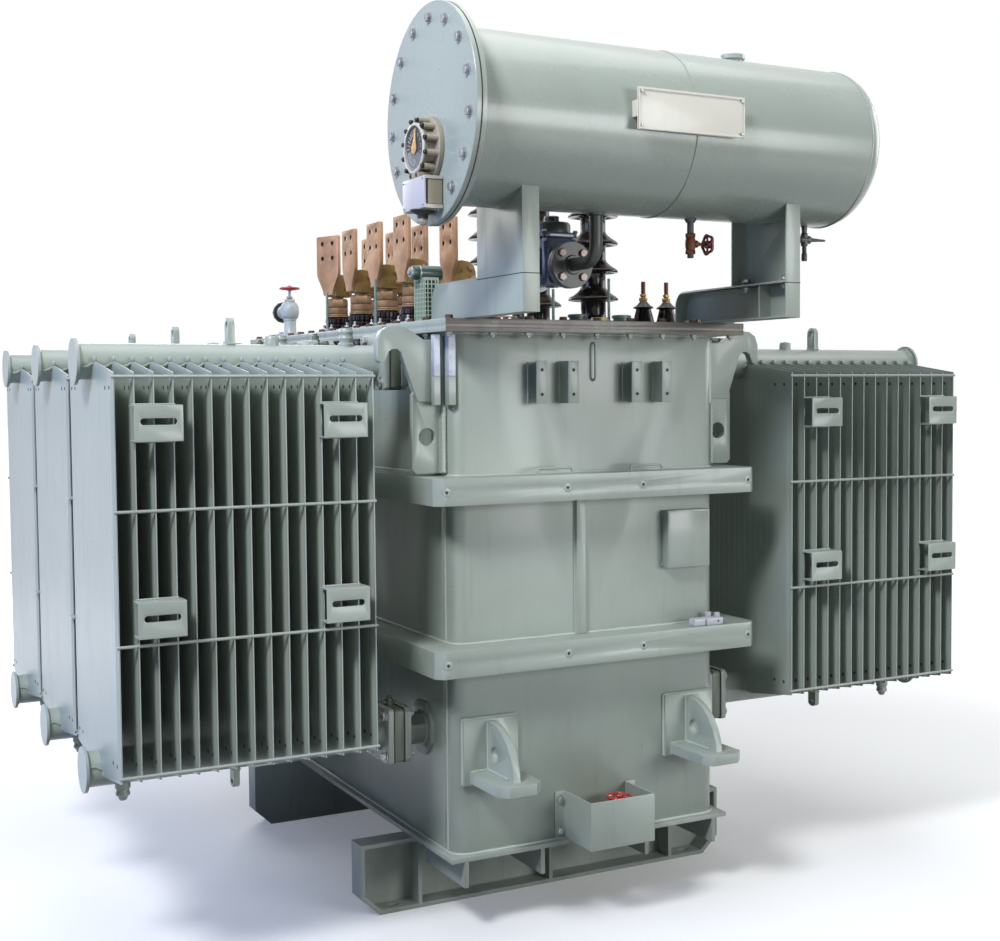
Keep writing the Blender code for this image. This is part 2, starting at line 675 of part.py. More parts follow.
def conservator():
    """Hollow shell with a dished right end, and the bolted cover on its left end."""
    r, t = SHELL_R, SHELL_T
    start = SHELL_END + END_FLANGE_T + GAP
    end = SHELL_STRAIGHT
    head = [(r * math.cos(a) ** 0.8, end + HEAD_DEPTH * math.sin(a)) for a in (math.radians(d) for d in (30, 60))]
    inner = [((r - t) * math.cos(a) ** 0.8, end + (HEAD_DEPTH - t) * math.sin(a))
             for a in (math.radians(d) for d in (60, 30))]
    profile = [(0, end + HEAD_DEPTH), *reversed(head), (r, end), (r, start + END_FLANGE_T),
               (END_FLANGE_R, start + END_FLANGE_T), (END_FLANGE_R, start), (r - t, start), (r - t, end)]
    profile += [*reversed(inner), (0, end + HEAD_DEPTH - t)]
    centre = (0, SHELL_Y, SHELL_Z)
    neck = rod((0.280, SHELL_Y, SHELL_Z + r - 0.003), 0.026, 0.022, "z", 16)
    piece("conservator_shell", [lathe(profile, centre, "x"), neck], PAINT)
    cover = lathe([(0, SHELL_END), (END_FLANGE_R, SHELL_END), (END_FLANGE_R, SHELL_END + END_FLANGE_T),
                   (0, SHELL_END + END_FLANGE_T)], centre, "x")
    piece("conservator_cover", [cover], PAINT)


def supports():
    """Conservator supports: a saddle upright on a channel that stands on the cover."""
    low = TOP_Z + GAP
    mid = low + BASE_H
    front = SHELL_Y - SUPPORT_HALF_Y
    back = SHELL_Y + SUPPORT_HALF_Y
    out, inn, t = -SUPPORT_X, -SUPPORT_X + SUPPORT_W, PLATE
    bow = arc((BASE_BACK - BASE_ROUND, mid - BASE_ROUND), BASE_ROUND, 90, 0, 4)
    bow_in = arc((BASE_BACK - BASE_ROUND, mid - BASE_ROUND), BASE_ROUND - t, 90, 0, 4)
    parts = [prism([(front, low), (front, mid), *bow, (BASE_BACK, low)], out, inn, "x")]
    pocket = prism([(front + t, low + t), (front + t, mid - t), *bow_in, (BASE_BACK - t, low + t)],
                   out + t, inn + t, "x")
    combine(parts[0], [pocket], "DIFFERENCE")
    centre = (front + back) / 2
    parts.append(block((out + t / 2, centre - t, low + t / 2), (inn - 0.001, centre, mid - t / 2)))
    top = SHELL_Z
    parts.append(block((out, front, mid - t / 2), (out + t, back, top)))
    parts.append(block((out, front, mid - t / 2), (inn, front + t, top)))
    parts.append(block((out, back - t, mid - t / 2), (inn, back, top)))
    saddle = lathe([(0, out - 0.02), (SHELL_R + GAP, out - 0.02), (SHELL_R + GAP, inn + 0.02), (0, inn + 0.02)],
                   (0, SHELL_Y, SHELL_Z), "x")
    left = piece("conservator_support_left", parts, PAINT, [saddle])
    twin(left, "conservator_support_right", mirror="x")


def level_gauge():
    """Dial gauge on the conservator's cover with its terminal box below."""
    face = SHELL_END - GAP
    y, z = SHELL_Y - 0.010, SHELL_Z - GAUGE_DROP
    dial = lathe([(0, 0), (0.075, 0), (0.075, -0.012), (0.066, -0.014), (0.066, -0.040), (0.058, -0.048),
                  (0.052, -0.048), (0.052, -0.042), (0, -0.042)], (face, y, z), "x", 18)
    box = block((face - 0.048, y - 0.067, z - 0.144), (face, y + 0.063, z - 0.0695))
    gland = rod((face - 0.024, y - 0.002, z - 0.176), 0.036, 0.012, "z", 12)
    piece("level_gauge", [dial, box, gland], (0.50, 0.48, 0.42))


def name_board():
    """Bare board on returned ends in front of the conservator."""
    shell = SHELL_Y - SHELL_R * math.cos(math.pi / ROUND)
    front = shell - 0.026
    low, high, left, right = SHELL_Z - 0.0355, SHELL_Z + 0.0635, -0.158, 0.151
    board = block((left, front, low), (right, front + 0.003, high))
    feet = [block((x, front + 0.001, low + 0.030), (x + 0.003, shell - GAP, high - 0.030))
            for x in (left, right - 0.003)]
    piece("name_board", [board, *feet], CREAM)


def conservator_drain():
    """Small drain valve under the conservator with a side handwheel."""
    x, y = 0.147, SHELL_Y
    top = SHELL_LOW - GAP
    z = SHELL_LOW - DRAIN_DROP
    body = lathe([(0, -0.037), (0.0085, -0.037), (0.0085, -0.025), (0.0135, -0.023), (0.0135, 0.025),
                  (0.0107, 0.027), (0.0107, top - z), (0, top - z)], (x, y, z), "z", 10)
    stem = lathe([(0, 0), (0.009, 0), (0.009, 0.022), (0.005, 0.026), (0.0035, 0.030), (0.0035, 0.070), (0, 0.070)],
                 (x, y, z), "x", 10)
    piece("conservator_drain_valve", [body, stem], BRASS, metallic=0.9)
    handwheel("conservator_handwheel", (x + 0.054, y, z), "x", 0.0235, 0.0035)


def conservator_cock():
    """Small cock under the conservator's right end."""
    x, y = 0.520, SHELL_Y
    body = lathe([(0, -0.096), (0.008, -0.096), (0.008, -0.076), (0.0065, -0.074), (0.0065, -0.056),
                  (0.010, -0.054), (0.010, -0.022), (0.0075, -0.020), (0.0075, -GAP), (0, -GAP)],
                 (x, y, SHELL_LOW), "z", 10)
    spike = lathe([(0, 0), (0.011, 0), (0.011, 0.020), (0.006, 0.022), (0.002, 0.072), (0, 0.072)],
                  (x, y, SHELL_LOW - 0.038), "x", 10)
    piece("conservator_cock", [body, spike], DARK)


def gas_relay():
    """Pipe from the conservator, gas relay and pipe down to the cover."""
    x, y, z = -0.138, SHELL_Y, SHELL_LOW - RELAY_DROP
    pipe, flange, thick = 0.01685, 0.060, 0.012
    top = SHELL_LOW - GAP
    bend = 0.052
    face = SHELL_Y + RELAY_SET
    down = [(x, y, top), (x, y, z + bend)]
    turn = [(x, y + bend - bend * math.cos(a), z + bend - bend * math.sin(a))
            for a in (math.radians(d) for d in (30, 60))]
    path = down + turn + [(x, y + bend, z), (x, face - thick / 2, z)]
    disc = lathe([(0, face - thick), (flange, face - thick), (flange, face), (0, face)], (x, 0, z), "y", 14)
    piece("relay_pipe_front", [disc, elbow(path, pipe)], DARK)
    far = face + RELAY_LONG
    one = lathe([(0, face + GAP), (flange, face + GAP), (flange, face + 0.014), (0.026, face + 0.014),
                 (0.026, far - 0.014), (flange, far - 0.014), (flange, far - GAP), (0, far - GAP)], (x, 0, z), "y", 12)
    middle = (face + far) / 2
    housing = lathe([(0, -0.052), (0.046, -0.052), (0.050, -0.046), (0.050, 0.075), (0.062, 0.077), (0.062, 0.090),
                     (0.052, 0.092), (0.050, 0.118), (0.020, 0.124), (0.020, 0.136), (0, 0.136)],
                    (x, middle, z), "z", 12)
    piece("gas_relay", [housing, one], (0.32, 0.36, 0.42))
    end_y = far + 0.095
    disc = lathe([(0, far), (flange, far), (flange, far + thick), (0, far + thick)], (x, 0, z), "y", 14)
    turn = [(x, end_y - bend + bend * math.sin(a), z - bend + bend * math.cos(a))
            for a in (math.radians(d) for d in (30, 60))]
    path = [(x, far + thick / 2, z), (x, end_y - bend, z), *turn, (x, end_y, z - bend), (x, end_y, TOP_Z + 0.006)]
    foot = rod((x, end_y, TOP_Z + GAP), 0.012, 0.052, "z", 14)
    piece("relay_pipe_rear", [disc, elbow(path, pipe), foot], DARK)


def shed_profile(low, body, sheds, tip, top):
    """Profile of a porcelain body with drooping sheds."""
    profile = [(0, low), (body + 0.018, low), (body + 0.018, low + 0.012), (body, low + 0.016)]
    for z in sheds:
        profile += [(body, z), (tip, z - 0.004), (body, z + 0.022)]
    return profile + [(body * 0.8, top - 0.02), (body * 0.5, top), (0, top)]


def hv_bushings():
    """Three tall bushings in a row along the cover."""
    low = TOP_Z + GAP
    sheds = [low + 0.079 * (k + 1) for k in range(5)]
    profile = shed_profile(low, 0.036, sheds, 0.072, low + 0.440)
    for k, y in enumerate(HV_Y):
        piece(f"hv_bushing_{k + 1}", [lathe(profile, (HV_X, y, 0), "z", 10)], PORCELAIN, roughness=0.15)


def small_bushings():
    """Two small bushings on one plate near the front right corner of the cover."""
    low = TOP_Z + GAP
    profile = [(0, 0.002), (0.030, 0.002), (0.030, 0.010), (0.018, 0.050), (0.018, 0.056), (0.026, 0.058),
               (0.018, 0.070), (0.010, 0.074), (0.010, 0.094), (0.005, 0.096), (0.005, 0.128), (0, 0.128)]
    parts = [block((SMALL_X[0] - 0.038, SMALL_Y - 0.038, low),
                   (SMALL_X[1] + 0.038, SMALL_Y + 0.038, low + 0.005))]
    parts += [lathe(profile, (x, SMALL_Y, low), "z", 10) for x in SMALL_X]
    piece("small_bushings", parts, PORCELAIN, roughness=0.15)


def lv_bushings():
    """Two rows of low-voltage bushings, each row on its own plate, with drilled flag terminals."""
    low = TOP_Z + GAP
    for row, x in enumerate(LV_X):
        plate = block((x - 0.055, LV_Y[0] - 0.06, low), (x + 0.055, LV_Y[-1] + 0.06, low + 0.008))
        parts = [plate]
        for y in LV_Y:
            profile = [(0, low + 0.004), (0.038, low + 0.004), (0.038, low + 0.026), (0.034, low + 0.034),
                       (0.037, low + 0.056), (0, low + 0.056)]
            parts.append(lathe(profile, (x, y, 0), "z", 8))
        piece(f"lv_bushings_{'outer' if row == 0 else 'inner'}", parts, PORCELAIN, roughness=0.15)
    seat = low + 0.056 + GAP
    for row, x in enumerate(LV_X):
        for k, y in enumerate(LV_Y):
            collar = lathe([(0, 0), (0.033, 0), (0.033, 0.056), (0, 0.056)], (x, y, seat), "z", 8)
            clamp = block((x - 0.030, y - 0.028, seat + 0.054), (x + 0.040, y + 0.028, seat + 0.130))
            flag = prism([(y - 0.022, seat + 0.062), (y + 0.022, seat + 0.062), (y + 0.052, seat + 0.130),
                          (y + 0.052, seat + 0.250), (y - 0.052, seat + 0.250), (y - 0.052, seat + 0.130)],
                         x - 0.040, x - 0.028, "x")
            holes = [rod((x - 0.05, y + a, seat + b), 0.04, 0.007, "x", 6)
                     for a in (-0.024, 0.024) for b in (0.180, 0.226)]
            piece(f"lv_terminal_{'outer' if row == 0 else 'inner'}_{k + 1}", [collar, clamp, flag], BRASS, holes,
                  metallic=0.9)


def cover_valve():
    """Filling valve at the cover's rear left corner."""
    x, y = 0.015 - TANK_HALF_X, TANK_HALF_Y - 0.178
    low = TOP_Z + GAP
    body = lathe([(0, low), (0.046, low), (0.046, low + 0.012), (0.0205, low + 0.012), (0.0205, low + 0.060),
                  (0.030, low + 0.066), (0.030, low + 0.112), (0.020, low + 0.122), (0.010, low + 0.126),
                  (0.010, low + 0.138), (0.005, low + 0.140), (0.005, low + 0.176), (0, low + 0.176)],
                 (x, y, 0), "z", 10)
    outlet = rod((x, y + 0.010, low + 0.088), 0.070, 0.0205, "y", 10)
    cap = rod((x, y + 0.066, low + 0.088), 0.014, 0.036, "y", 10)
    piece("cover_valve", [body, outlet, cap], STEEL)
    handwheel("cover_handwheel", (x, y, low + 0.166), "z", 0.031, 0.005)


def meter_box():
    """Small vented box on the cover with a relief cylinder on top."""
    low = TOP_Z + GAP
    x, y = -TANK_HALF_X + 0.010, 0.140 - TANK_HALF_Y
    box = block((x - 0.020, y, low), (x + 0.020, y + 0.073, low + 0.118))
    drum = rod((x, y - 0.002, low + 0.132), 0.085, 0.020, "y", 12)
    piece("meter_box", [box, drum], (0.40, 0.44, 0.42))


def place():
    """Move every piece so that the outline is centred on the origin."""
    for obj in bpy.context.scene.collection.objects:
        obj.data.transform(Matrix.Translation((0, TANK_Y, 0)))
        obj.data.update()


def main():
    for obj in list(bpy.data.objects):
        bpy.data.objects.remove(obj, do_unlink=True)
    beams()
    floor_plate()
    front_wall()
    side_wall()
    bands()
    rim_and_cover()
    lifting_hooks()
    jacking_lugs()
    drain_valve()
    plate_holder()
    radiators()
    conservator()
    supports()
    level_gauge()
    name_board()
    conservator_drain()
    conservator_cock()
    gas_relay()
    hv_bushings()
    small_bushings()
    lv_bushings()
    cover_valve()
    meter_box()
    place()


main()
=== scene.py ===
"""Looks of an oil-filled power transformer: painted steel, pressed radiators, bushings and fittings.

Lengths are metres, +Z up. Surfaces are worked out about the tank's centre line, whose Y lies
TANK_Y behind the model's origin, and each finished piece is moved there.
"""
import math

import bmesh
import bpy
import numpy as np
from bpy.props import FloatProperty, FloatVectorProperty, IntProperty, PointerProperty
from bpy.types import Operator, Panel, PropertyGroup
from mathutils import Matrix, Vector
from mathutils.geometry import tessellate_polygon


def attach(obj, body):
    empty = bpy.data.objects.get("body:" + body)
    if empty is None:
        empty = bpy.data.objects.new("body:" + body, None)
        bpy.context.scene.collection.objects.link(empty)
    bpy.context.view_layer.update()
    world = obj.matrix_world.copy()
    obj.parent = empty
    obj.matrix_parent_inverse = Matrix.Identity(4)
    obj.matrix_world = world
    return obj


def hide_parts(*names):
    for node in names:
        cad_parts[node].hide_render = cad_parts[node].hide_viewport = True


bl_info = {
    "name": "Power transformer looks",
    "version": (1, 0, 0),
    "blender": (4, 5, 0),
    "location": "3D View > Sidebar > Transformer",
    "description": "Dresses the packed model of a power transformer with its finished surfaces",
    "category": "Object",
}

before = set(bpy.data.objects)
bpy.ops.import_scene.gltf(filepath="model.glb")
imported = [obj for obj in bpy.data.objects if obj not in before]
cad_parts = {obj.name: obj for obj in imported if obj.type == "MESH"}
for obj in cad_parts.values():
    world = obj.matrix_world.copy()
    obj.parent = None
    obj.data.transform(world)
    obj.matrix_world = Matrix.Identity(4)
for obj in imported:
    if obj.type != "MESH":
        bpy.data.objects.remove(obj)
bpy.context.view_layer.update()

TANK_Y = 0.1665
TANK_X = 0.415
TANK_FRONT = 0.758
BEAM_TOP = 0.2
RIM_LOW = 1.591
RIM_TOP = 1.603
COVER_LOW = 1.609
COVER_TOP = 1.624
COVER_X = 0.463
COVER_Y = 0.831
BAND_Y = 0.843
BANDS = ((0.703, 0.773), (1.146, 1.216))

ROW_PITCH = 0.55
HEADER_Z = (0.517, 1.517)
HEADER_R = 0.04445
FIN_HALF = 0.26
FIN_Z = (0.536, 1.487)
FIN_X = (0.653, 1.283)
HORN_Y = 0.059
HORN_RISE = 0.029
DISC_X = 1.325
FLANGE_X = 0.548
FLANGE_T = 0.018
VALVE_T = 0.03

SHELL_Y = -1.03
SHELL_Z = 2.0875
SHELL_R = 0.2075
SHELL_END = -0.59
SHELL_STRAIGHT = 0.58
HEAD_DEPTH = 0.09
END_R = 0.2585
END_T = 0.013
SUPPORT_X = 0.387
SUPPORT_JOINT = 0.0974
BOARD_X = (-0.1565, 0.1495)
BOARD_Z = (SHELL_Z - 0.034, SHELL_Z + 0.062)
BOARD_FRONT = -1.2635

# Where the fittings stand: rods and brackets of a radiator, fittings on and under its headers, the
# relay, the bushings and the four small brackets on the front wall

ROD_Z = (1.477, 1.166, 0.854, 0.548)
BRACKET_X = (-0.743, -1.194)
BRACKET_Z = (0.919, 1.37)
TOP_LUG_X, PLUG_X, RIDGED_CAP_X = -0.937, -0.827, -0.624
HUNG_LUG_X, DRAIN_X = -0.944, -1.228
RELAY_X, RELAY_FACE, RELAY_Z = -0.138, -0.899, 1.761975
HV_X, HV_Y = 0.12, (-0.575, -0.24, 0.095)
LV_X, LV_Y = (-0.363, -0.22), (-0.4, -0.195, 0.01, 0.215)
SMALL_X, SMALL_Y = (0.319, 0.4), -0.528
WALL_BRACKET_X = (-0.191, -0.095, 0.105, 0.203)

# The stage: how far below the origin its floor lies, the camera and the lamps

FLOOR_DROP = 0.0006
FLOOR_HALF = 60.0
LENS_MM = 51.96
LENS_SHIFT = (-0.0484, -0.0066)
CAMERA_PLACE = (-1.9862, -4.0046, 1.4389)
CAMERA_TURNS = (("Z", -0.49809), ("X", 1.51985), ("Z", -0.00694))
UNSEEN_SKY = (0.075, 0.08, 0.088)
UNSEEN_FLOOR = (0.09, 0.092, 0.09)
# Each lamp: its name, place, aim, width, height, power in watts and tint
LAMPS = (
    ("key", (-4.0, -3.0, 5.3), (-0.2, -0.2, 1.1), 1.5, 1.2, 310.0, (0.96, 0.975, 1.0)),
    ("above", (0.4, -0.4, 5.6), (0.0, 0.1, 1.2), 4.6, 3.4, 95.0, (0.97, 0.985, 1.0)),
    ("left", (-5.6, -0.4, 3.0), (-0.6, 0.1, 0.9), 3.4, 2.6, 160.0, (0.34, 0.5, 1.0)),
    ("front", (2.5, -5.7, 1.9), (0.1, -0.2, 0.8), 2.8, 1.8, 135.0, (0.97, 0.99, 1.0)),
    ("right", (5.2, -0.8, 3.2), (0.6, 0.2, 1.1), 3.0, 2.6, 90.0, (0.95, 0.97, 1.0)),
    ("behind", (0.6, 6.4, 3.4), (0.0, 0.4, 1.1), 4.4, 3.0, 200.0, (0.97, 0.985, 1.0)),
)


# Sizes and colours to change


def colour(name, about, value):
    """A colour property with linear channels."""
    return FloatVectorProperty(name=name, description=about, default=value, subtype="COLOR",
                               size=3, min=0.0, max=1.0)


def length(name, about, value):
    """A length property in metres."""
    return FloatProperty(name=name, description=about, default=value, unit="LENGTH", min=0.0)


class TransformerFinish(PropertyGroup):
    """Colours of the finishes."""

    paint: colour("Tank paint", "Grey-green enamel of the steelwork", (0.335, 0.385, 0.345))
    red: colour("Handwheel red", "Enamel of the valve handwheels", (0.42, 0.012, 0.022))
    beige: colour("Gauge beige", "Paint of the level gauge", (0.31, 0.275, 0.205))
    cream: colour("Board cream", "Paint of the name board", (0.74, 0.72, 0.64))
    relay: colour("Relay blue", "Paint of the gas relay", (0.05, 0.068, 0.11))
    dark: colour("Dark metal", "Primer on the relay line", (0.013, 0.016, 0.014))
    copper: colour("Terminal bronze", "Cast and plated low-voltage terminals", (0.42, 0.25, 0.15))
    brass: colour("Brass", "Machined valve bodies and studs", (0.55, 0.38, 0.17))
    zinc: colour("Zinc", "Galvanised bolts and nuts", (0.33, 0.34, 0.35))
    porcelain: colour("Porcelain", "Glaze of the bushings", (0.0065, 0.0038, 0.0042))
    # Also the painted shade inside small holes.
    seal: colour("Seal", "Rubber joints", (0.018, 0.018, 0.019))


class TransformerSizes(PropertyGroup):
    """Sizes of the added detail."""

    edge: length("Edge round", "Rounding of plate edges", 0.0014)
    bead: length("Weld bead", "Radius of a fillet weld", 0.0044)
    bolt: length("Cover bolt", "Thread diameter of the cover bolts", 0.012)
    lobe: length("Fin lobe", "Half thickness of a pressed fin channel", 0.0048)
    seam: length("Fin seam", "Half thickness of a fin's welded edge", 0.0015)
    flutes: IntProperty(name="Flutes", description="Pressed channels across a fin", default=18, min=3)
    fins: IntProperty(name="Fins", description="Fins in each radiator", default=15, min=2)


def finish():
    """The scene's colours."""
    return bpy.context.scene.transformer_finish


def sizes():
    """The scene's sizes."""
    return bpy.context.scene.transformer_sizes


# Surfaces

TURNS = {
    "x": ((0, 1, 0), (0, 0, 1), (1, 0, 0)),
    "y": ((0, 0, 1), (1, 0, 0), (0, 1, 0)),
    "z": ((1, 0, 0), (0, 1, 0), (0, 0, 1)),
    "-x": ((0, 0, 1), (0, 1, 0), (-1, 0, 0)),
    "-y": ((1, 0, 0), (0, 0, 1), (0, -1, 0)),
    "-z": ((0, 1, 0), (1, 0, 0), (0, 0, -1)),
}


class Part:
    """Points and faces of closed surfaces; each face array has one count of corners."""

    def __init__(self, points, faces):
        self.points = np.asarray(points, float).reshape(-1, 3)
        self.faces = [np.asarray(f, int) for f in faces if len(f)]

    def __add__(self, other):
        shift = len(self.points)
        faces = self.faces + [f + shift for f in other.faces]
        return Part(np.concatenate([self.points, other.points]), faces)

    def moved(self, *offset):
        """The part carried by one offset."""
        return Part(self.points + np.asarray(offset, float), self.faces)

    def turned_about(self, axis, degrees, centre=(0, 0, 0)):
        """The part turned about an axis through a centre."""
        turn = np.array(Matrix.Rotation(math.radians(degrees), 3, axis))
        middle = np.asarray(centre, float)
        return Part((self.points - middle) @ turn.T + middle, self.faces)

    def copies(self, offsets):
        """One copy at each offset, worked out as a whole array."""
        offsets = np.asarray(offsets, float).reshape(-1, 1, 3)
        steps = len(self.points) * np.arange(len(offsets))
        points = offsets + self.points[None]
        faces = [(f[None] + steps[:, None, None]).reshape(-1, f.shape[1]) for f in self.faces]
        return Part(points, faces)

    def mirrored(self, *axes):
        """The part and its mirror images in the named planes."""
        whole = self
        for axis in axes:
            scale = np.where(np.arange(3) == "xyz".index(axis), -1.0, 1.0)
            whole = whole + Part(whole.points * scale, whole.faces)
        return whole

    def image(self, axes):
        """The mirror image alone."""
        scale = np.array([-1.0 if a in axes else 1.0 for a in "xyz"])
        return Part(self.points * scale, self.faces)


def joined(parts):
    """All parts as one."""
    whole = parts[0]
    for part in parts[1:]:
        whole = whole + part
    return whole


def net(rows, columns, wrap_rows=False, wrap_columns=True):
    """Quads between neighbours on a grid of rows by columns, numbered row by row."""
    i = np.arange(rows if wrap_rows else rows - 1)[:, None]
    j = np.arange(columns if wrap_columns else columns - 1)[None]
    a, b = i * columns, (i + 1) % rows * columns
    k = (j + 1) % columns
    return np.stack([a + j, a + k, b + k, b + j], axis=-1).reshape(-1, 4)


def placed(points, axis, centre):
    """Local (u, v, w) points on the model's axes, with w along the named axis."""
    return np.asarray(points, float) @ np.array(TURNS[axis], float) + np.asarray(centre, float)


def lathe(profile, centre=(0, 0, 0), axis="z", sides=48, closed=False, start=0.0):
    """A profile turned about an axis: (r cos t, r sin t, h); flat discs close its two ends."""
    profile = np.asarray(profile, float)
    turn = start + 2 * np.pi * np.arange(sides) / sides
    r, h = profile[:, :1], profile[:, 1:2]
    grid = np.stack([r * np.cos(turn), r * np.sin(turn), h + 0 * turn], axis=-1)
    faces = [net(len(profile), sides, wrap_rows=closed)]
    if not closed:
        ends = np.arange(sides)
        faces += [ends[None, ::-1], ends[None] + (len(profile) - 1) * sides]
    return Part(placed(grid, axis, centre), faces)


def inset(outline, depth):
    """An outline moved inward by depth along its mitred corners (negative: outward)."""
    points = np.asarray(outline, float)
    edge = np.roll(points, -1, axis=0) - points
    edge /= np.linalg.norm(edge, axis=1, keepdims=True)
    normal = np.stack([edge[:, 1], -edge[:, 0]], axis=1)
    before = np.roll(normal, 1, axis=0)
    area = np.sum(points[:, 0] * np.roll(points[:, 1], -1) - np.roll(points[:, 0], -1) * points[:, 1])
    miter = (normal + before) / np.maximum(1 + np.sum(normal * before, axis=1, keepdims=True), 0.2)
    return points - miter * depth * np.sign(area)


def slab(outline, low, high, axis="z", centre=(0, 0, 0), edge=0.001, holes=(), steps=2):
    """An outline carried along an axis, its rims rounded on a quarter circle, with open holes."""
    angles = np.linspace(0, np.pi / 2, steps + 1) if edge else np.zeros(1)
    shrink, rise = edge * (1 - np.sin(angles)), edge * (1 - np.cos(angles))
    heights = np.concatenate([low + rise, high - rise[::-1]])
    depths = np.concatenate([shrink, shrink[::-1]])
    loops, faces, points, count = [], [], [], 0
    for k, loop in enumerate((outline, *holes)):
        rings = [np.column_stack([inset(loop, d if k == 0 else -d), np.full(len(loop), h)])
                 for d, h in zip(depths, heights)]
        faces.append(net(len(rings), len(loop)) + count)
        loops.append((count, len(loop), rings))
        points += rings
        count += len(rings) * len(loop)
    for last in (False, True):
        index = np.concatenate([np.arange(size) + first + (len(rings) - 1) * size * last
                                for first, size, rings in loops])
        if holes:
            flat = [[Vector((*p[:2], 0)) for p in rings[-last]] for _, _, rings in loops]
            faces.append(index[np.array(tessellate_polygon(flat))])
        else:
            faces.append(index[None])
    return Part(placed(np.concatenate(points), axis, centre), faces)


def box(low, high, edge=0.001, axis="z"):
    """A plate between two corners with rounded rims."""
    (a, b, c), (d, e, f) = low, high
    if axis == "x":
        return slab([(b, c), (e, c), (e, f), (b, f)], a, d, "x", edge=edge)
    if axis == "y":
        return slab([(c, a), (f, a), (f, d), (c, d)], b, e, "y", edge=edge)
    return slab([(a, b), (d, b), (d, e), (a, e)], c, f, "z", edge=edge)


def circle(radius, centre=(0, 0), sides=24, start=0.0, end=360.0):
    """Points round a circle or an arc; a whole turn leaves its last point out."""
    whole = abs(end - start) == 360.0
    turn = np.radians(np.linspace(start, end, sides, endpoint=not whole))
    return np.column_stack([centre[0] + radius * np.cos(turn), centre[1] + radius * np.sin(turn)])


def rounded(low, high, radius, steps=5):
    """A rectangle with round corners."""
    (a, b), (c, d) = low, high
    r = radius
    return np.concatenate([circle(r, (c - r, b + r), steps, -90, 0),
                           circle(r, (c - r, d - r), steps, 0, 90),
                           circle(r, (a + r, d - r), steps, 90, 180),
                           circle(r, (a + r, b + r), steps, 180, 270)])


def swept(path, section, up=(0, 0, 1), closed=False, scale=None):
    """A flat section carried along a path; each plane halves the bend, and up is its second axis."""
    path, section = np.asarray(path, float), np.asarray(section, float)
    if closed:
        ahead = np.roll(path, -1, axis=0) - path
        behind = np.roll(ahead, 1, axis=0)
    else:
        ahead = np.diff(path, axis=0)
        ahead, behind = np.vstack([ahead, ahead[-1:]]), np.vstack([ahead[:1], ahead])
    ahead /= np.linalg.norm(ahead, axis=1, keepdims=True)
    behind /= np.linalg.norm(behind, axis=1, keepdims=True)
    along = ahead + behind
    along /= np.linalg.norm(along, axis=1, keepdims=True)
    side = np.cross(along, np.asarray(up, float))
    side /= np.linalg.norm(side, axis=1, keepdims=True)
    rise = np.cross(side, along)
    size = np.ones(len(path)) if scale is None else np.asarray(scale, float)
    grid = (path[:, None] + (side[:, None] * section[None, :, :1] + rise[:, None] * section[None, :, 1:])
            * size[:, None, None])
    faces = [net(len(path), len(section), wrap_rows=closed)]
    if not closed:
        ends = np.arange(len(section))
        faces += [ends[None, ::-1], ends[None] + (len(path) - 1) * len(section)]
    return Part(grid, faces)


def bent(points, radius, steps=6):
    """A path through corners, each corner rounded by a quadratic arc of about the radius."""
    points = [np.asarray(p, float) for p in points]
    path = [points[0]]
    for a, b, c in zip(points, points[1:], points[2:]):
        before, after = a - b, c - b
        reach = min(radius, np.linalg.norm(before) / 2.01, np.linalg.norm(after) / 2.01)
        start = b + before / np.linalg.norm(before) * reach
        end = b + after / np.linalg.norm(after) * reach
        t = np.linspace(0, 1, steps + 1)[:, None]
        path += list((1 - t) ** 2 * start + 2 * t * (1 - t) * b + t ** 2 * end)
    return np.array(path + [points[-1]])


def tube(points, radius, bend=0.0, sides=16, up=(0, 0, 1), steps=6):
    """A round bar or pipe along a path with rounded corners."""
    path = bent(points, bend, steps) if bend else np.asarray(points, float)
    return swept(path, circle(radius, sides=sides), up)


def rod(start, run, radius, axis="z", sides=20, edge=0.0006):
    """A round bar with eased rims."""
    e = min(edge, run / 3, radius / 3)
    profile = [(radius - e, 0), (radius, e), (radius, run - e), (radius - e, run)]
    return lathe(profile, start, axis, sides)


def bead(path, radius, up=(0, 0, 1), pitch=0.007):
    """A weld bead: a low round section along a path, its size rippled once for each pitch."""
    path = np.asarray(path, float)
    reach = np.concatenate([[0], np.cumsum(np.linalg.norm(np.diff(path, axis=0), axis=1))])
    stops = np.linspace(0, reach[-1], max(int(reach[-1] / pitch * 2), 2))
    fine = np.column_stack([np.interp(stops, reach, path[:, k]) for k in range(3)])
    ripple = 1 + 0.16 * (-1.0) ** np.arange(len(stops)) + 0.07 * np.sin(stops * 61)
    return swept(fine, circle(radius, sides=6), up, scale=ripple)


def hexagon(across):
    """A hexagon by its width across flats."""
    return circle(across / math.sqrt(3), sides=6, start=30, end=390)


def prism(flat, rings, axis="z", centre=(0, 0, 0)):
    """A flat outline carried along an axis: at each height it is scaled by that ring's factor."""
    count, ends = len(flat), np.arange(len(flat))
    grid = np.concatenate([np.column_stack([flat * k, np.full(count, height)]) for k, height in rings])
    last = (len(rings) - 1) * count
    return Part(placed(grid, axis, centre), [net(len(rings), count), ends[None, ::-1], ends[None] + last])


def bolt(size=0.012, axis="z", tail=0.0, washer=True):
    """A hex head on a washer, its crown cut by a cone, and a nut and thread end on the far side."""
    thick = 0.2 * size
    base = thick if washer else 0.0
    crown = [(k, base + h * size) for k, h in ((0.92, 0.0), (1.0, 0.07), (1.0, 0.56), (0.84, 0.66))]
    whole = prism(hexagon(1.5 * size), crown, axis)
    if washer:
        whole = whole + lathe([(1.0 * size, 0), (1.12 * size, 0.05 * size), (1.08 * size, thick)],
                              axis=axis, sides=14)
    return whole + nut_end(size, axis, tail) if tail else whole


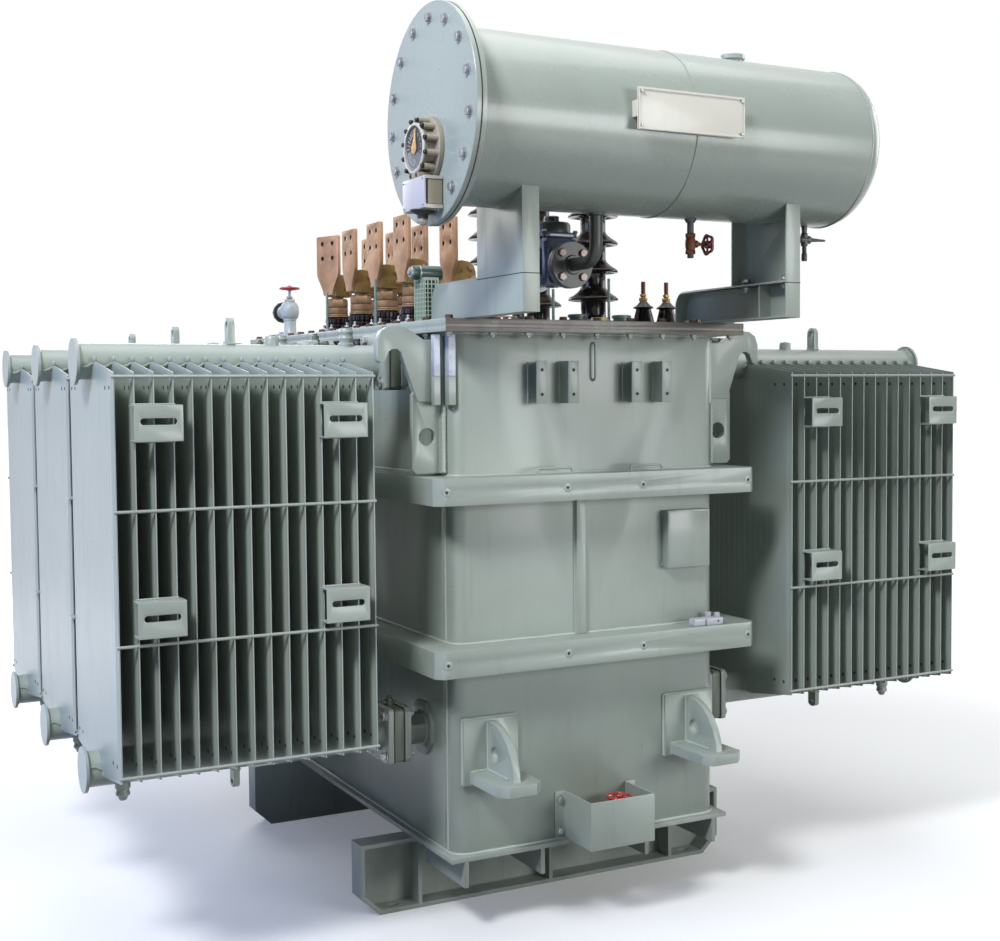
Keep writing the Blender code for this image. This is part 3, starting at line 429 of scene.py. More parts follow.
def nut_end(size, axis, tail):
    """The nut and thread end of a bolt on the far side of its plates."""
    rings = [(k, h * size - tail) for k, h in ((0.84, -0.72), (1.0, -0.62), (1.0, -0.06), (0.92, 0.0))]
    thread = [(0.4 * size, -tail - 1.15 * size), (0.5 * size, -tail - 1.05 * size), (0.5 * size, -tail)]
    return prism(hexagon(1.5 * size), rings, axis) + lathe(thread, axis=axis, sides=8)


def ring_of(count, radius, centre, axis, start=0.0):
    """Places round a circle about an axis."""
    flat = circle(radius, sides=count, start=start, end=start + 360.0)
    return placed(np.column_stack([flat, np.zeros(count)]), axis, centre)


# Materials

MADE = {}


class Value:
    """A number or colour on a surface. Sums and products of numbers add Math nodes."""

    def __init__(self, recipe, socket):
        self.recipe, self.socket = recipe, socket

    def apply(self, operation, *others, first=None):
        """One Math node on this value and others; first takes this value's place."""
        inputs = (self, *others) if first is None else (first, self)
        return self.recipe.node("ShaderNodeMath", {"operation": operation}, dict(enumerate(inputs)))

    def __add__(self, other):
        return self.apply("ADD", other)

    __radd__ = __add__

    def __mul__(self, other):
        return self.apply("MULTIPLY", other)

    __rmul__ = __mul__

    def __sub__(self, other):
        return self.apply("SUBTRACT", other)

    def __rsub__(self, other):
        return self.apply("SUBTRACT", first=other)

    def clamp(self, low=0.0, high=1.0):
        """The value kept between two limits."""
        return self.apply("MAXIMUM", low).apply("MINIMUM", high)

    def band(self, low, high):
        """0 below low, 1 above high and a smooth step between."""
        return self.recipe.node("ShaderNodeMapRange", {"interpolation_type": "SMOOTHSTEP"},
                                {"Value": self, "From Min": low, "From Max": high})


class Nodes:
    """A node tree, built node by node from a type, settings and inputs."""

    def __init__(self, tree):
        self.tree = tree

    def node(self, kind, settings=None, inputs=None, output=0):
        """A node of one type; settings go first, then values or links of its inputs."""
        made = self.tree.nodes.new(kind)
        for key, value in (settings or {}).items():
            setattr(made, key, value)
        for key, value in (inputs or {}).items():
            self.feed(made.inputs[key], value)
        return Value(self, made.outputs[output])

    def feed(self, socket, value):
        """A link from a Value, or a plain number or colour."""
        if isinstance(value, Value):
            self.tree.links.new(value.socket, socket)
        elif isinstance(value, (int, float)):
            socket.default_value = value
        else:
            socket.default_value = (*value, 1.0)[:len(socket.default_value)]

    def mix(self, factor, one, two, blend="MIX"):
        """One colour turned into another by a factor."""
        return self.node("ShaderNodeMix", {"data_type": "RGBA", "blend_type": blend},
                         {0: factor, 6: one, 7: two}, output=2)


class Recipe(Nodes):
    """One material: its node tree, the places it is worked out from and the shader's own sockets."""

    def __init__(self, name):
        self.material = bpy.data.materials.new(name)
        self.material.use_nodes = True
        super().__init__(self.material.node_tree)
        self.shader = self.tree.nodes["Principled BSDF"]
        self.place = self.node("ShaderNodeTexCoord", output="Object")
        facing = self.node("ShaderNodeNewGeometry", output="Normal")
        self.up = self.node("ShaderNodeSeparateXYZ", inputs={0: facing}, output=2)
        self.across = self.node("ShaderNodeSeparateXYZ", inputs={0: facing}, output=1)
        self.height = self.node("ShaderNodeSeparateXYZ", inputs={0: self.place}, output=2)

    def stretched(self, scale):
        """The object's coordinates with each axis scaled by itself."""
        return self.node("ShaderNodeMapping", inputs={"Vector": self.place, "Scale": scale})

    def noise(self, scale, detail=3.0, rough=0.55, place=None):
        """Smooth noise from 0 to 1."""
        return self.node("ShaderNodeTexNoise", inputs={"Vector": place or self.place, "Scale": scale,
                                                       "Detail": detail, "Roughness": rough})

    def bump(self, height, distance, strength=1.0, under=None):
        """A bumped normal from a height."""
        inputs = {"Height": height, "Distance": distance, "Strength": strength}
        if under is not None:
            inputs["Normal"] = under
        return self.node("ShaderNodeBump", inputs=inputs)

    def done(self, **sockets):
        """Sets the shader's sockets; underscores in a name stand for spaces."""
        for key, value in sockets.items():
            self.feed(self.shader.inputs[key.replace("_", " ").title().replace("Ior", "IOR")], value)
        MADE[self.material.name] = self.material
        return self.material


def shade(colour_value, factor):
    """A colour made lighter or darker."""
    return tuple(min(c * factor, 1.0) for c in colour_value)


def enamel(name, base, gloss=0.3, dust=0.5, streaks_and_low_dark=0.5, peel=1.0, rust=0.0):
    """Sprayed enamel: slow tone changes, orange peel, dust on top faces, streaks, darker patches low down and
    small chips.

    With rust, faces that look along Y darken to brown: painted shade and reflection, as on the cover's front
    edge.
    """
    if name in MADE:
        return MADE[name]
    r = Recipe(name)
    slow = r.noise(2.3, 4.0)
    patch = r.noise(11.0, 5.0, 0.65)
    streak = r.noise(3.0, 5.0, 0.6, r.stretched((9.0, 9.0, 0.9)))
    tone = r.mix(slow.band(0.3, 0.7), shade(base, 0.93), shade(base, 1.06))
    tone = r.mix(patch.band(0.35, 0.8) * 0.25, tone, shade(base, 0.86))
    runs = streak.band(0.52, 0.78) * (1 - r.up.band(0.2, 0.8)) * streaks_and_low_dark
    tone = r.mix(runs * 0.55, tone, (base[0] * 0.55, base[1] * 0.52, base[2] * 0.45))
    settled = r.up.band(0.35, 0.95) * r.noise(7.0, 6.0, 0.7).band(0.25, 0.75) * dust
    tone = r.mix(settled * 0.55, tone, (0.36, 0.345, 0.3))
    # Patches darken towards the bottom, below about 0.4 m up.
    low = (1 - r.height.band(0.02, 0.42)) * r.noise(5.0, 5.0, 0.6).band(0.25, 0.7) * streaks_and_low_dark
    tone = r.mix(low * 0.5, tone, (0.12, 0.115, 0.1))
    if rust:
        # Painted shade and reflection: faces that look along Y darken to brown.
        y_facing_shade = r.across.apply("ABSOLUTE").band(0.75, 0.95) * r.noise(6.0, 5.0, 0.65).band(0.15, 0.5) * rust
        tone = r.mix(y_facing_shade, tone, (0.088, 0.066, 0.05))
    chip = r.noise(46.0, 2.0, 0.4).band(0.775, 0.8) * r.noise(4.0).band(0.5, 0.62)
    tone = r.mix(chip * 0.55, tone, (0.1, 0.095, 0.09))
    rough = gloss + slow * 0.08 + patch * 0.06 + settled * 0.35 + runs * 0.18 + low * 0.3 + chip * 0.3
    skin = r.noise(210.0, 2.0, 0.5)
    wave = r.noise(26.0, 2.0)
    normal = r.bump(skin * 0.6 + wave * 1.4 - chip * 1.2, 0.0006 * peel, 0.22)
    return r.done(base_color=tone, roughness=rough.clamp(0.08, 0.95), normal=normal, coat_roughness=0.12,
                  coat_weight=0.15)


def metal(name, base, rough=0.38, stain=0.4, grain=60.0, metallic=1.0, second=None):
    """Bare or plated metal: cloudy tarnish, fine grain and dirt in the hollows."""
    if name in MADE:
        return MADE[name]
    r = Recipe(name)
    cloud = r.noise(17.0, 5.0, 0.62)
    fine = r.noise(grain * 6, 3.0, 0.6)
    spots = r.noise(70.0, 4.0, 0.7).band(0.55, 0.75)
    tone = r.mix(cloud.band(0.3, 0.7), shade(base, 0.78), shade(base, 1.14))
    tone = r.mix(spots * stain, tone, second or shade(base, 0.42))
    return r.done(base_color=tone, metallic=metallic - spots * stain * 0.55,
                  roughness=(rough + cloud * 0.16 + spots * 0.24 + fine * 0.05).clamp(0.05, 1.0),
                  normal=r.bump(fine + cloud * 2 + spots, 0.0003, 0.25))


def glaze(name, base):
    """Dark porcelain glaze: brown tint in thin places, painted top light with dust, slight waves and a wet
    coat.
    """
    if name in MADE:
        return MADE[name]
    r = Recipe(name)
    thin = r.noise(9.0, 3.0)
    tone = r.mix(thin.band(0.35, 0.75), base, shade(base, 1.7))
    # Upward faces turn a lighter, rougher brown: painted light from above, with dust.
    dusty = r.up.band(0.25, 0.95) * r.noise(24.0, 4.0, 0.6).band(0.3, 0.75)
    tone = r.mix(dusty * 0.35, tone, (0.15, 0.11, 0.085))
    return r.done(base_color=tone, roughness=(0.13 + dusty * 0.35 + thin * 0.05), specular_ior_level=0.28,
                  normal=r.bump(r.noise(22.0, 1.5), 0.0005, 0.2))


def rubber(name, base):
    """Pressed rubber sheet: matt, with fine pits and pale bloom."""
    if name in MADE:
        return MADE[name]
    r = Recipe(name)
    bloom = r.noise(35.0, 4.0, 0.65).band(0.45, 0.8)
    tone = r.mix(bloom * 0.5, base, (0.075, 0.072, 0.068))
    return r.done(base_color=tone, roughness=0.72 + bloom * 0.2,
                  normal=r.bump(r.noise(420.0, 3.0), 0.0003, 0.5))


def paint():
    """The tank's grey-green enamel."""
    return enamel("tank_enamel", tuple(finish().paint))


def zinc():
    """Galvanised steel with faint crystals."""
    return metal("galvanised_steel", tuple(finish().zinc), 0.36, 0.35)


def joint_rubber():
    """Black rubber of joints, also used as painted shade inside small holes."""
    return rubber("joint_rubber", tuple(finish().seal))


def primer():
    """Dark primer of the relay line and the small fittings."""
    return enamel("primed_metal", tuple(finish().dark), 0.4, 0.7, 0.5)


def cream_enamel():
    """Cream enamel of the name board."""
    return enamel("board_enamel", tuple(finish().cream), 0.26, 0.3, 0.3)


# Pieces


def piece(name, parts, material=None, body="root", slot="paint", stands_for=(), crease=38.0, weld=True):
    """One finished object from parts, or from pairs of part and material, facing outward."""
    pairs = [p if isinstance(p, tuple) else (p, material)
             for p in (parts if isinstance(parts, list) else [parts])]
    whole = joined([p for p, _ in pairs])
    faces, kinds, materials = [], [], []
    shift = 0
    for part, kind in pairs:
        if kind not in materials:
            materials.append(kind)
        for array in part.faces:
            faces += (array + shift).tolist()
            kinds.append(np.full(len(array), materials.index(kind)))
        shift += len(part.points)
    mesh = bpy.data.meshes.new(name)
    mesh.from_pydata(whole.points + (0, TANK_Y, 0), [], faces)
    for kind in materials:
        mesh.materials.append(kind)
    mesh.polygons.foreach_set("material_index", np.concatenate(kinds).astype(np.int32))
    bm = bmesh.new()
    bm.from_mesh(mesh)
    if weld:
        bmesh.ops.remove_doubles(bm, verts=bm.verts, dist=1e-6)
    bmesh.ops.recalc_face_normals(bm, faces=bm.faces)
    bm.to_mesh(mesh)
    bm.free()
    mesh.shade_smooth()
    mesh.set_sharp_from_angle(angle=math.radians(crease))
    return shown(name, mesh, body, stands_for)


def finished(node, parts, material=None, **options):
    """The finished piece of one CAD node, which it stands for."""
    return piece(f"{node}_finished", parts, material, stands_for=(node,), **options)


def shown(name, mesh, body, stands_for):
    """Links a mesh as a piece of the model."""
    obj = bpy.data.objects.new(name, mesh)
    bpy.context.scene.collection.objects.link(obj)
    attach(obj, body)
    if stands_for:
        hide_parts(*stands_for)
    return obj


def dressed(node, material, edge=None, body="root"):
    """A merged copy of a CAD node with rounded edges, which stands for the node."""
    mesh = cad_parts[node].data.copy()
    bm = bmesh.new()
    bm.from_mesh(mesh)
    bmesh.ops.remove_doubles(bm, verts=bm.verts, dist=2e-6)
    bmesh.ops.dissolve_limit(bm, angle_limit=math.radians(0.4), verts=bm.verts, edges=bm.edges)
    bm.to_mesh(mesh)
    bm.free()
    mesh.materials.clear()
    mesh.materials.append(material)
    mesh.shade_smooth()
    obj = shown(f"{node}_finished", mesh, body, (node,))
    rim = obj.modifiers.new("edges", "BEVEL")
    rim.width = edge or sizes().edge
    rim.segments = 2
    rim.limit_method = "ANGLE"
    rim.angle_limit = math.radians(32)
    rim.harden_normals = True
    return obj


# Stage


class TRANSFORMER_OT_stage(Operator):
    """Pale floor, soft lights and the camera of the photograph."""

    bl_idname = "transformer.stage"
    bl_label = "Stage"

    def execute(self, context):
        scene = context.scene
        scene.view_settings.view_transform = "Standard"
        corners = [(x * FLOOR_HALF, y * FLOOR_HALF, -FLOOR_DROP) for x,
                   y in ((-1, -1), (1, -1), (1, 1), (-1, 1))]
        mesh = bpy.data.meshes.new("floor")
        mesh.from_pydata(corners, [], [(0, 1, 2, 3)])
        floor = bpy.data.objects.new("floor", mesh)
        scene.collection.objects.link(floor)
        r = Recipe("floor_pale")
        seen = self.seen(r)
        away = r.node("ShaderNodeVectorMath", {"operation": "LENGTH"}, {0: r.place}, "Value").band(2.2, 5.5)
        pale = r.mix(r.noise(0.7, 3.0).band(0.3, 0.7), (0.86, 0.86, 0.86), (0.89, 0.89, 0.89))
        glow = r.mix(away, (0.13, 0.13, 0.13), (1, 1, 1))
        r.done(base_color=r.mix(seen, UNSEEN_FLOOR, pale), roughness=0.75,
               emission_color=r.mix(seen, (0, 0, 0), glow), emission_strength=1.0)
        mesh.materials.append(r.material)
        self.sky(scene)
        for name, spot, aim, wide, high, power, tint in LAMPS:
            lamp = bpy.data.lights.new(name, "AREA")
            lamp.shape, lamp.size, lamp.size_y = "RECTANGLE", wide, high
            lamp.energy, lamp.color = power, tint
            holder = bpy.data.objects.new(name, lamp)
            holder.location = spot
            holder.rotation_euler = (Vector(aim) - Vector(spot)).to_track_quat("-Z", "Y").to_euler()
            scene.collection.objects.link(holder)
        self.camera(scene)
        return {"FINISHED"}

    @staticmethod
    def seen(r):
        """1 for camera, glossy and transmission rays."""
        paths = [r.node("ShaderNodeLightPath", output=name)
                 for name in ("Is Camera Ray", "Is Glossy Ray", "Is Transmission Ray")]
        return paths[0].apply("MAXIMUM", paths[1]).apply("MAXIMUM", paths[2])

    def sky(self, scene):
        """White to the eye and in reflections, and a plain grey for the light it gives."""
        world = bpy.data.worlds.new("studio")
        world.use_nodes = True
        scene.world = world
        nodes = Nodes(world.node_tree)
        ground = nodes.tree.nodes["Background"]
        ground.inputs["Strength"].default_value = 1.0
        nodes.feed(ground.inputs["Color"], nodes.mix(self.seen(nodes), UNSEEN_SKY, (1, 1, 1)))

    @staticmethod
    def camera(scene):
        """The camera solved from the photograph's straight edges."""
        lens = bpy.data.cameras.new("camera")
        lens.sensor_fit, lens.sensor_width = "HORIZONTAL", 36.0
        lens.lens = LENS_MM
        lens.shift_x, lens.shift_y = LENS_SHIFT
        lens.clip_start, lens.clip_end = 0.05, 400.0
        place = Matrix.Translation(CAMERA_PLACE)
        for axis, turn in CAMERA_TURNS:
            place = place @ Matrix.Rotation(turn, 4, axis)
        eye = bpy.data.objects.new("camera", lens)
        eye.matrix_world = place
        scene.collection.objects.link(eye)
        scene.camera = eye


# Steelwork


class TRANSFORMER_OT_plates(Operator):
    """Base, tank, cover, bands, hooks and supports with rounded edges."""

    bl_idname = "transformer.plates"
    bl_label = "Steel plates"

    def execute(self, context):
        coat = paint()
        for node in ("front_wall", "rear_wall", "left_wall", "right_wall", "upper_band", "lower_band",
                     "valve_guard", "rating_plate_holder", "conservator_support_left",
                     "conservator_support_right"):
            dressed(node, coat)
        dressed("name_board", cream_enamel(), 0.0006)
        for place in ("front_left", "front_right", "rear_left", "rear_right"):
            dressed(f"lifting_hook_{place}", coat, edge=0.0022)
            dressed(f"jacking_lug_{place}", coat, edge=0.0022)
        base_coat = enamel("base_enamel", tuple(finish().paint), 0.4, 0.6, 0.75)
        for node in ("base_beam_front", "base_beam_rear", "tank_bottom"):
            dressed(node, base_coat, edge=0.0025)
        # rust=0.9 paints brown shade and reflection on the cover's faces that look along Y.
        lid = enamel("cover_enamel", shade(finish().paint, 0.98), 0.34, 0.8, 0.7, rust=0.9)
        dressed("cover", lid, edge=0.0004)
        dressed("tank_rim", lid, edge=0.0004)
        x, y = COVER_X - 0.0004, COVER_Y - 0.0004
        strip = slab([(-x, -y), (x, -y), (x, y), (-x, y)], RIM_TOP + 0.0001, COVER_LOW - 0.0001, edge=0,
                     holes=(rounded((-TANK_X, -TANK_FRONT), (TANK_X, TANK_FRONT), 0.04),))
        finished("cover_gasket", strip, lid, slot="seal")
        return {"FINISHED"}


# Radiators


def fin_sheet(flutes, lobe, seam, rows):
    """One fin as a closed pillow over (y, s): y across, s up between the sloped rims.

    Half thickness = seam at the two welded edges; inside them it is the lobe less a shallow valley
    for each flute, |2f - 1| to the fifth, which fades to a plain dish near the top and bottom.
    """
    edge = 0.0145
    per = 3
    inner = np.linspace(-FIN_HALF + edge, FIN_HALF - edge, flutes * per + 1)
    outer = np.array([0.0, 0.004, 0.0105])
    y = np.concatenate([-FIN_HALF + outer, inner, FIN_HALF - outer[::-1]])
    s = rows
    phase = (y + FIN_HALF - edge) / (2 * (FIN_HALF - edge)) * flutes
    valley = np.abs(2 * (phase % 1.0) - 1) ** 5
    inside = np.clip((FIN_HALF - 0.0105 - np.abs(y)) / (edge - 0.0105), 0, 1)
    slope = np.clip((np.abs(y) - HORN_Y) / (FIN_HALF - HORN_Y), 0, 1)
    top = FIN_Z[1] + HORN_RISE * (1 - slope)
    low = FIN_Z[0] - HORN_RISE * (1 - slope)
    z = low[None] + (top - low)[None] * s[:, None]
    ends = np.minimum(z - low[None], top[None] - z)
    rim = np.clip(ends / 0.012, 0, 1)
    fade = np.clip((ends - 0.045) / 0.022, 0, 1)
    fade = fade * fade * (3 - 2 * fade)
    body = lobe * (0.72 + 0.28 * fade) - 0.32 * (lobe - seam) * valley[None] * fade
    half = seam + (body - seam) * inside[None] * rim ** 0.7
    return y, z, half


class TRANSFORMER_OT_radiators(Operator):
    """Six radiators: pressed fins, headers, flanges, discs, tie rods, brackets and lifting eyes."""

    bl_idname = "transformer.radiators"
    bl_label = "Radiators"

    def execute(self, context):
        size = sizes()
        coat = enamel("radiator_enamel", tuple(finish().paint), 0.28, 0.6, 0.35)
        fins = self.fins(size)
        steel, bright, marks = self.steel(), self.bolts(), self.spot_welds(size)
        # Near-black paint for the dimple spots: painted shade.
        dimple_shade_paint = enamel("dimple_shade_dark", (0.03, 0.036, 0.032), 0.5, 0.2, 0.2)
        brackets = self.brackets()
        for row, name in ((-1, "front"), (0, "middle"), (1, "rear")):
            shift = (0, row * ROW_PITCH, 0)
            for side, flip in (("left", ""), ("right", "x")):
                label = f"radiator_{name}_{side}"
                piece(f"{label}_fins", fins.moved(*shift).image(flip), coat, stands_for=(label,),
                      crease=50.0, weld=False)
                extra = steel + brackets.image("y" if row > 0 else "") if row else steel
                piece(f"{label}_steelwork", [(extra.moved(*shift).image(flip), coat),
                                             (marks.moved(*shift).image(flip), dimple_shade_paint)])
                piece(f"{label}_bolts", bright.moved(*shift).image(flip), zinc(), weld=False)
        bars = [box((s * FIN_X[1] - 0.012, y - 0.022, z - 0.0025),
                    (s * FIN_X[1] + 0.012, y + 0.022, z + 0.0025), 0.001) for s in (-1, 1)
                for y in (-ROW_PITCH / 2, ROW_PITCH / 2) for z in ROD_Z[1:3]]
        piece("radiator_tie_bars", joined(bars), coat, weld=False)
        self.valve_bodies()
        return {"FINISHED"}

    @staticmethod
    def valve_bodies():
        """Shut-off valve bodies and joints between the radiators and the tank's stubs."""
        olive = enamel("valve_olive", (0.125, 0.15, 0.115), 0.38, 0.5, 0.6)
        square, joint, hollow = (rounded((-half, -half), (half, half), corner, 4)
                                 for half, corner in ((0.0722, 0.009), (0.0742, 0.01), (0.0712, 0.008)))
        shell = slab(square, 0.5008, 0.5292, "-x", edge=0.0008, holes=(hollow,))
        gasket = (slab(joint, 0.4995, 0.5013, "-x", edge=0, holes=(hollow,))
                  + slab(joint, 0.5287, 0.5304, "-x", edge=0, holes=(hollow,)))
        spots = [(0, row * ROW_PITCH, z) for row in (-1, 0, 1) for z in HEADER_Z]
        middle = (-0.515, 0, 0)
        gland = [(0.014, 0.07), (0.014, 0.078), (0.011, 0.08), (0.011, 0.09), (0.008, 0.091)]
        stem = lathe(gland, middle, "z", 20) + hex_nut(0.012, 0.0905, 0.098, middle)
        for side, flip in (("left", ""), ("right", "x")):
            pairs = [((shell + stem).copies(spots).image(flip), olive),
                     (gasket.copies(spots).image(flip), joint_rubber())]
            piece(f"header_valves_{side}", pairs, weld=False)

    @staticmethod
    def fins(size):
        """All fins of one radiator, from one sheet copied at the fin pitch."""
        rows = np.concatenate([[0, 0.004, 0.012], np.linspace(0.026, 0.075, 4), [0.3, 0.7],
                               np.linspace(0.925, 0.985, 6), [0.994, 1.0]])
        y, z, half = fin_sheet(size.flutes, size.lobe, size.seam, rows)
        grid = np.stack([half, y[None] + 0 * z, z], axis=-1)
        back = grid * (-1, 1, 1)
        n, m = z.shape
        quads = net(n, m, wrap_columns=False)
        ring = np.concatenate([np.arange(m), np.arange(1, n) * m + m - 1, (n - 1) * m
                               + np.arange(m - 2, -1, -1), np.arange(n - 2, 0, -1) * m])
        rim = np.stack([ring, np.roll(ring, -1), np.roll(ring, -1) + n * m, ring + n * m], axis=-1)
        sheet = Part(np.stack([grid, back]), [quads, quads[:, ::-1] + n * m, rim])
        first, last = -FIN_X[1], -FIN_X[0]
        places = np.linspace((first, 0, 0), (last, 0, 0), size.fins)
        return sheet.copies(places)

    @staticmethod
    def spot_welds(size):
        """Dark discs at the pressed dimples near each fin's top and bottom: painted shade of the dimples."""
        one = rod((-0.0043, 0, 0), 0.0086, 0.0052, "x", 8, 0.0006)
        inward = FIN_HALF - np.array([0.034, 0.078])
        return one.copies([(x, s * y, z) for x in np.linspace(-FIN_X[1], -FIN_X[0], size.fins) for y in inward
                           for s in (-1, 1) for z in (FIN_Z[1] - 0.035, FIN_Z[0] + 0.035)])

    def steel(self):
        """Headers, their fittings and the rods across the fins."""
        fin_x = np.linspace(-FIN_X[1], -FIN_X[0], sizes().fins)
        return joined([*self.headers(fin_x), *self.header_fittings(), *self.rods()])

    @staticmethod
    def headers(fin_x):
        """Headers with end discs and square flanges, a bead over each fin and a scalloped one between.

        The scallop hangs at an angle below the header's side: 0.06 + 0.26 |sin(pi t)|, t in fin pitches.
        """
        run = (-DISC_X, -FLANGE_X)
        parts = []
        square = rounded((-0.075, -0.075), (0.075, 0.075), 0.01, 4)
        for z in HEADER_Z:
            profile = [(0.0565, run[0]), (0.0575, run[0] + 0.001), (0.0575, run[0] + 0.0075),
                       (0.0565, run[0] + 0.0085), (HEADER_R + 0.005, run[0] + 0.009),
                       (HEADER_R + 0.002, run[0] + 0.013), (HEADER_R, run[0] + 0.015),
                       (HEADER_R, run[1] - 0.008), (HEADER_R + 0.004, run[1]),
                       (HEADER_R + 0.004, run[1] + 0.004)]
            parts.append(lathe(profile, (0, 0, z), "x", 40))
            parts.append(slab(square + (0, z), run[1], run[1] + FLANGE_T - 0.0015, "x", edge=0.0015))
            start = 178 if z > 1 else -2
            over = circle(HEADER_R + 0.0015, (0, z), 18, start, start + 184)
            saddle = bead([(0, a, b) for a, b in over], 0.003, (1, 0, 0))
            parts.append(saddle.copies(np.column_stack([fin_x, 0 * fin_x, 0 * fin_x])))
        reach = np.linspace(run[0] + 0.008, -FIN_X[0] + 0.02, 110)
        sag = 0.06 + 0.26 * np.abs(np.sin(np.pi * (reach + FIN_X[1]) / (fin_x[1] - fin_x[0])))
        for z, way in zip(HEADER_Z, (1, -1)):
            radius = HEADER_R + 0.001
            line = np.column_stack([reach, -radius * np.cos(sag), z + way * radius * np.sin(sag)])
            parts.append(bead(line, 0.003, (0, -1, 0), 0.012).mirrored("y"))
        tip = lathe([(0.0005, -0.006), (0.0046, -0.004), (0.006, 0), (0.0048, 0.0046), (0.0005, 0.0072)],
                    sides=8)
        tips = np.array([(x, y, z) for x in fin_x for y in (-0.0535, 0.0535)
                         for z in (HEADER_Z[0] - 0.004, HEADER_Z[1] + 0.004)])
        parts.append(tip.copies(tips))
        return parts

    @staticmethod
    def rods():
        """Rods across the fins' outer edges."""
        rods = []
        for z in ROD_Z:
            for y in (-FIN_HALF + 0.001, FIN_HALF - 0.001):
                rods.append(rod((-FIN_X[1] - 0.006, y, z), FIN_X[1] - FIN_X[0] + 0.012, 0.004, "x", 12))
        return rods

    @staticmethod
    def header_fittings():
        """Lifting eyes, plugs and drains on the headers."""
        parts = []
        lug = slab([*circle(0.018, (0, 0.05), 13, 0, 180), (-0.018, -0.004), (0.018, -0.004)], -0.008,
                   0.008, "x", edge=0.001, holes=(circle(0.009, (0, 0.048), 16),))
        foot = bead([(0.008, -0.018, 0.001), (0.008, 0.018, 0.001), (-0.008, 0.018, 0.001),
                     (-0.008, -0.018, 0.001), (0.008, -0.018, 0.001)], 0.003)
        top, under = HEADER_Z[1] + HEADER_R, HEADER_Z[0] - HEADER_R
        parts.append((lug + foot).moved(TOP_LUG_X, 0, top))
        hung = Part((lug + foot).points * (1, 1, -0.72), (lug + foot).faces)
        parts.append(hung.moved(HUNG_LUG_X, 0, under))
        parts.append(lathe([(0.0185, -0.006), (0.0185, 0.018), (0.0165, 0.021), (0.006, 0.0215),
                            (0.005, 0.023)], (PLUG_X, 0, top), "z", 20))
        ridged = [(0.021, -0.006), (0.021, 0.004), (0.018, 0.006), (0.018, 0.014), (0.0195, 0.016),
                  (0.0195, 0.02), (0.018, 0.022), (0.018, 0.03), (0.0195, 0.032), (0.0195, 0.036),
                  (0.0175, 0.038), (0.0165, 0.045)]
        parts.append(lathe(ridged, (RIDGED_CAP_X, 0, top), "z", 24))
        drain = [(0.019, -0.008), (0.019, 0.012), (0.016, 0.014), (0.016, 0.022), (0.0175, 0.024),
                 (0.0175, 0.03), (0.012, 0.034), (0.01, 0.041), (0.006, 0.044)]
        parts.append(lathe(drain, (DRAIN_X, 0, under), "-z", 24))
        return parts

    @staticmethod
    def bolts():
        """Flange bolts at the four corners, nuts towards the fins."""
        corners = [(0, a, b) for a in (-0.055, 0.055) for b in (-0.055, 0.055)]
        one = bolt(0.014, "-x", tail=2 * FLANGE_T + VALVE_T - 0.002)
        places = np.concatenate([np.asarray(corners) + (-FLANGE_X, 0, z) for z in HEADER_Z])
        return one.copies(places)

    @staticmethod
    def brackets():
        """Slotted channels across the fins' outer edges, folded from 3 mm plate."""
        parts = []
        out = -FIN_HALF - 0.05
        for x in BRACKET_X:
            for z in BRACKET_Z:
                low, high = z - 0.042, z + 0.042
                t = 0.003
                slot = np.concatenate([circle(0.0075, (x + 0.0345, z + 0.004), 8, -90, 90),
                                       circle(0.0075, (x - 0.0345, z + 0.004), 8, 90, 270)])
                face = rounded((x - 0.056, low), (x + 0.056, high), 0.002, 3)
                parts.append(slab(face, -out - t, -out, "-y", edge=0.0009, holes=(slot,)))
                for level in (low, high - t):
                    parts.append(box((x - 0.056, out + 0.001, level), (x + 0.056, -FIN_HALF, level + t),
                                     0.0008))
                for edge_z in (low - 0.001, high + 0.001):
                    parts.append(bead([(x - 0.05, -FIN_HALF, edge_z), (x + 0.05, -FIN_HALF, edge_z)], 0.0026))
        return joined(parts)


# Conservator


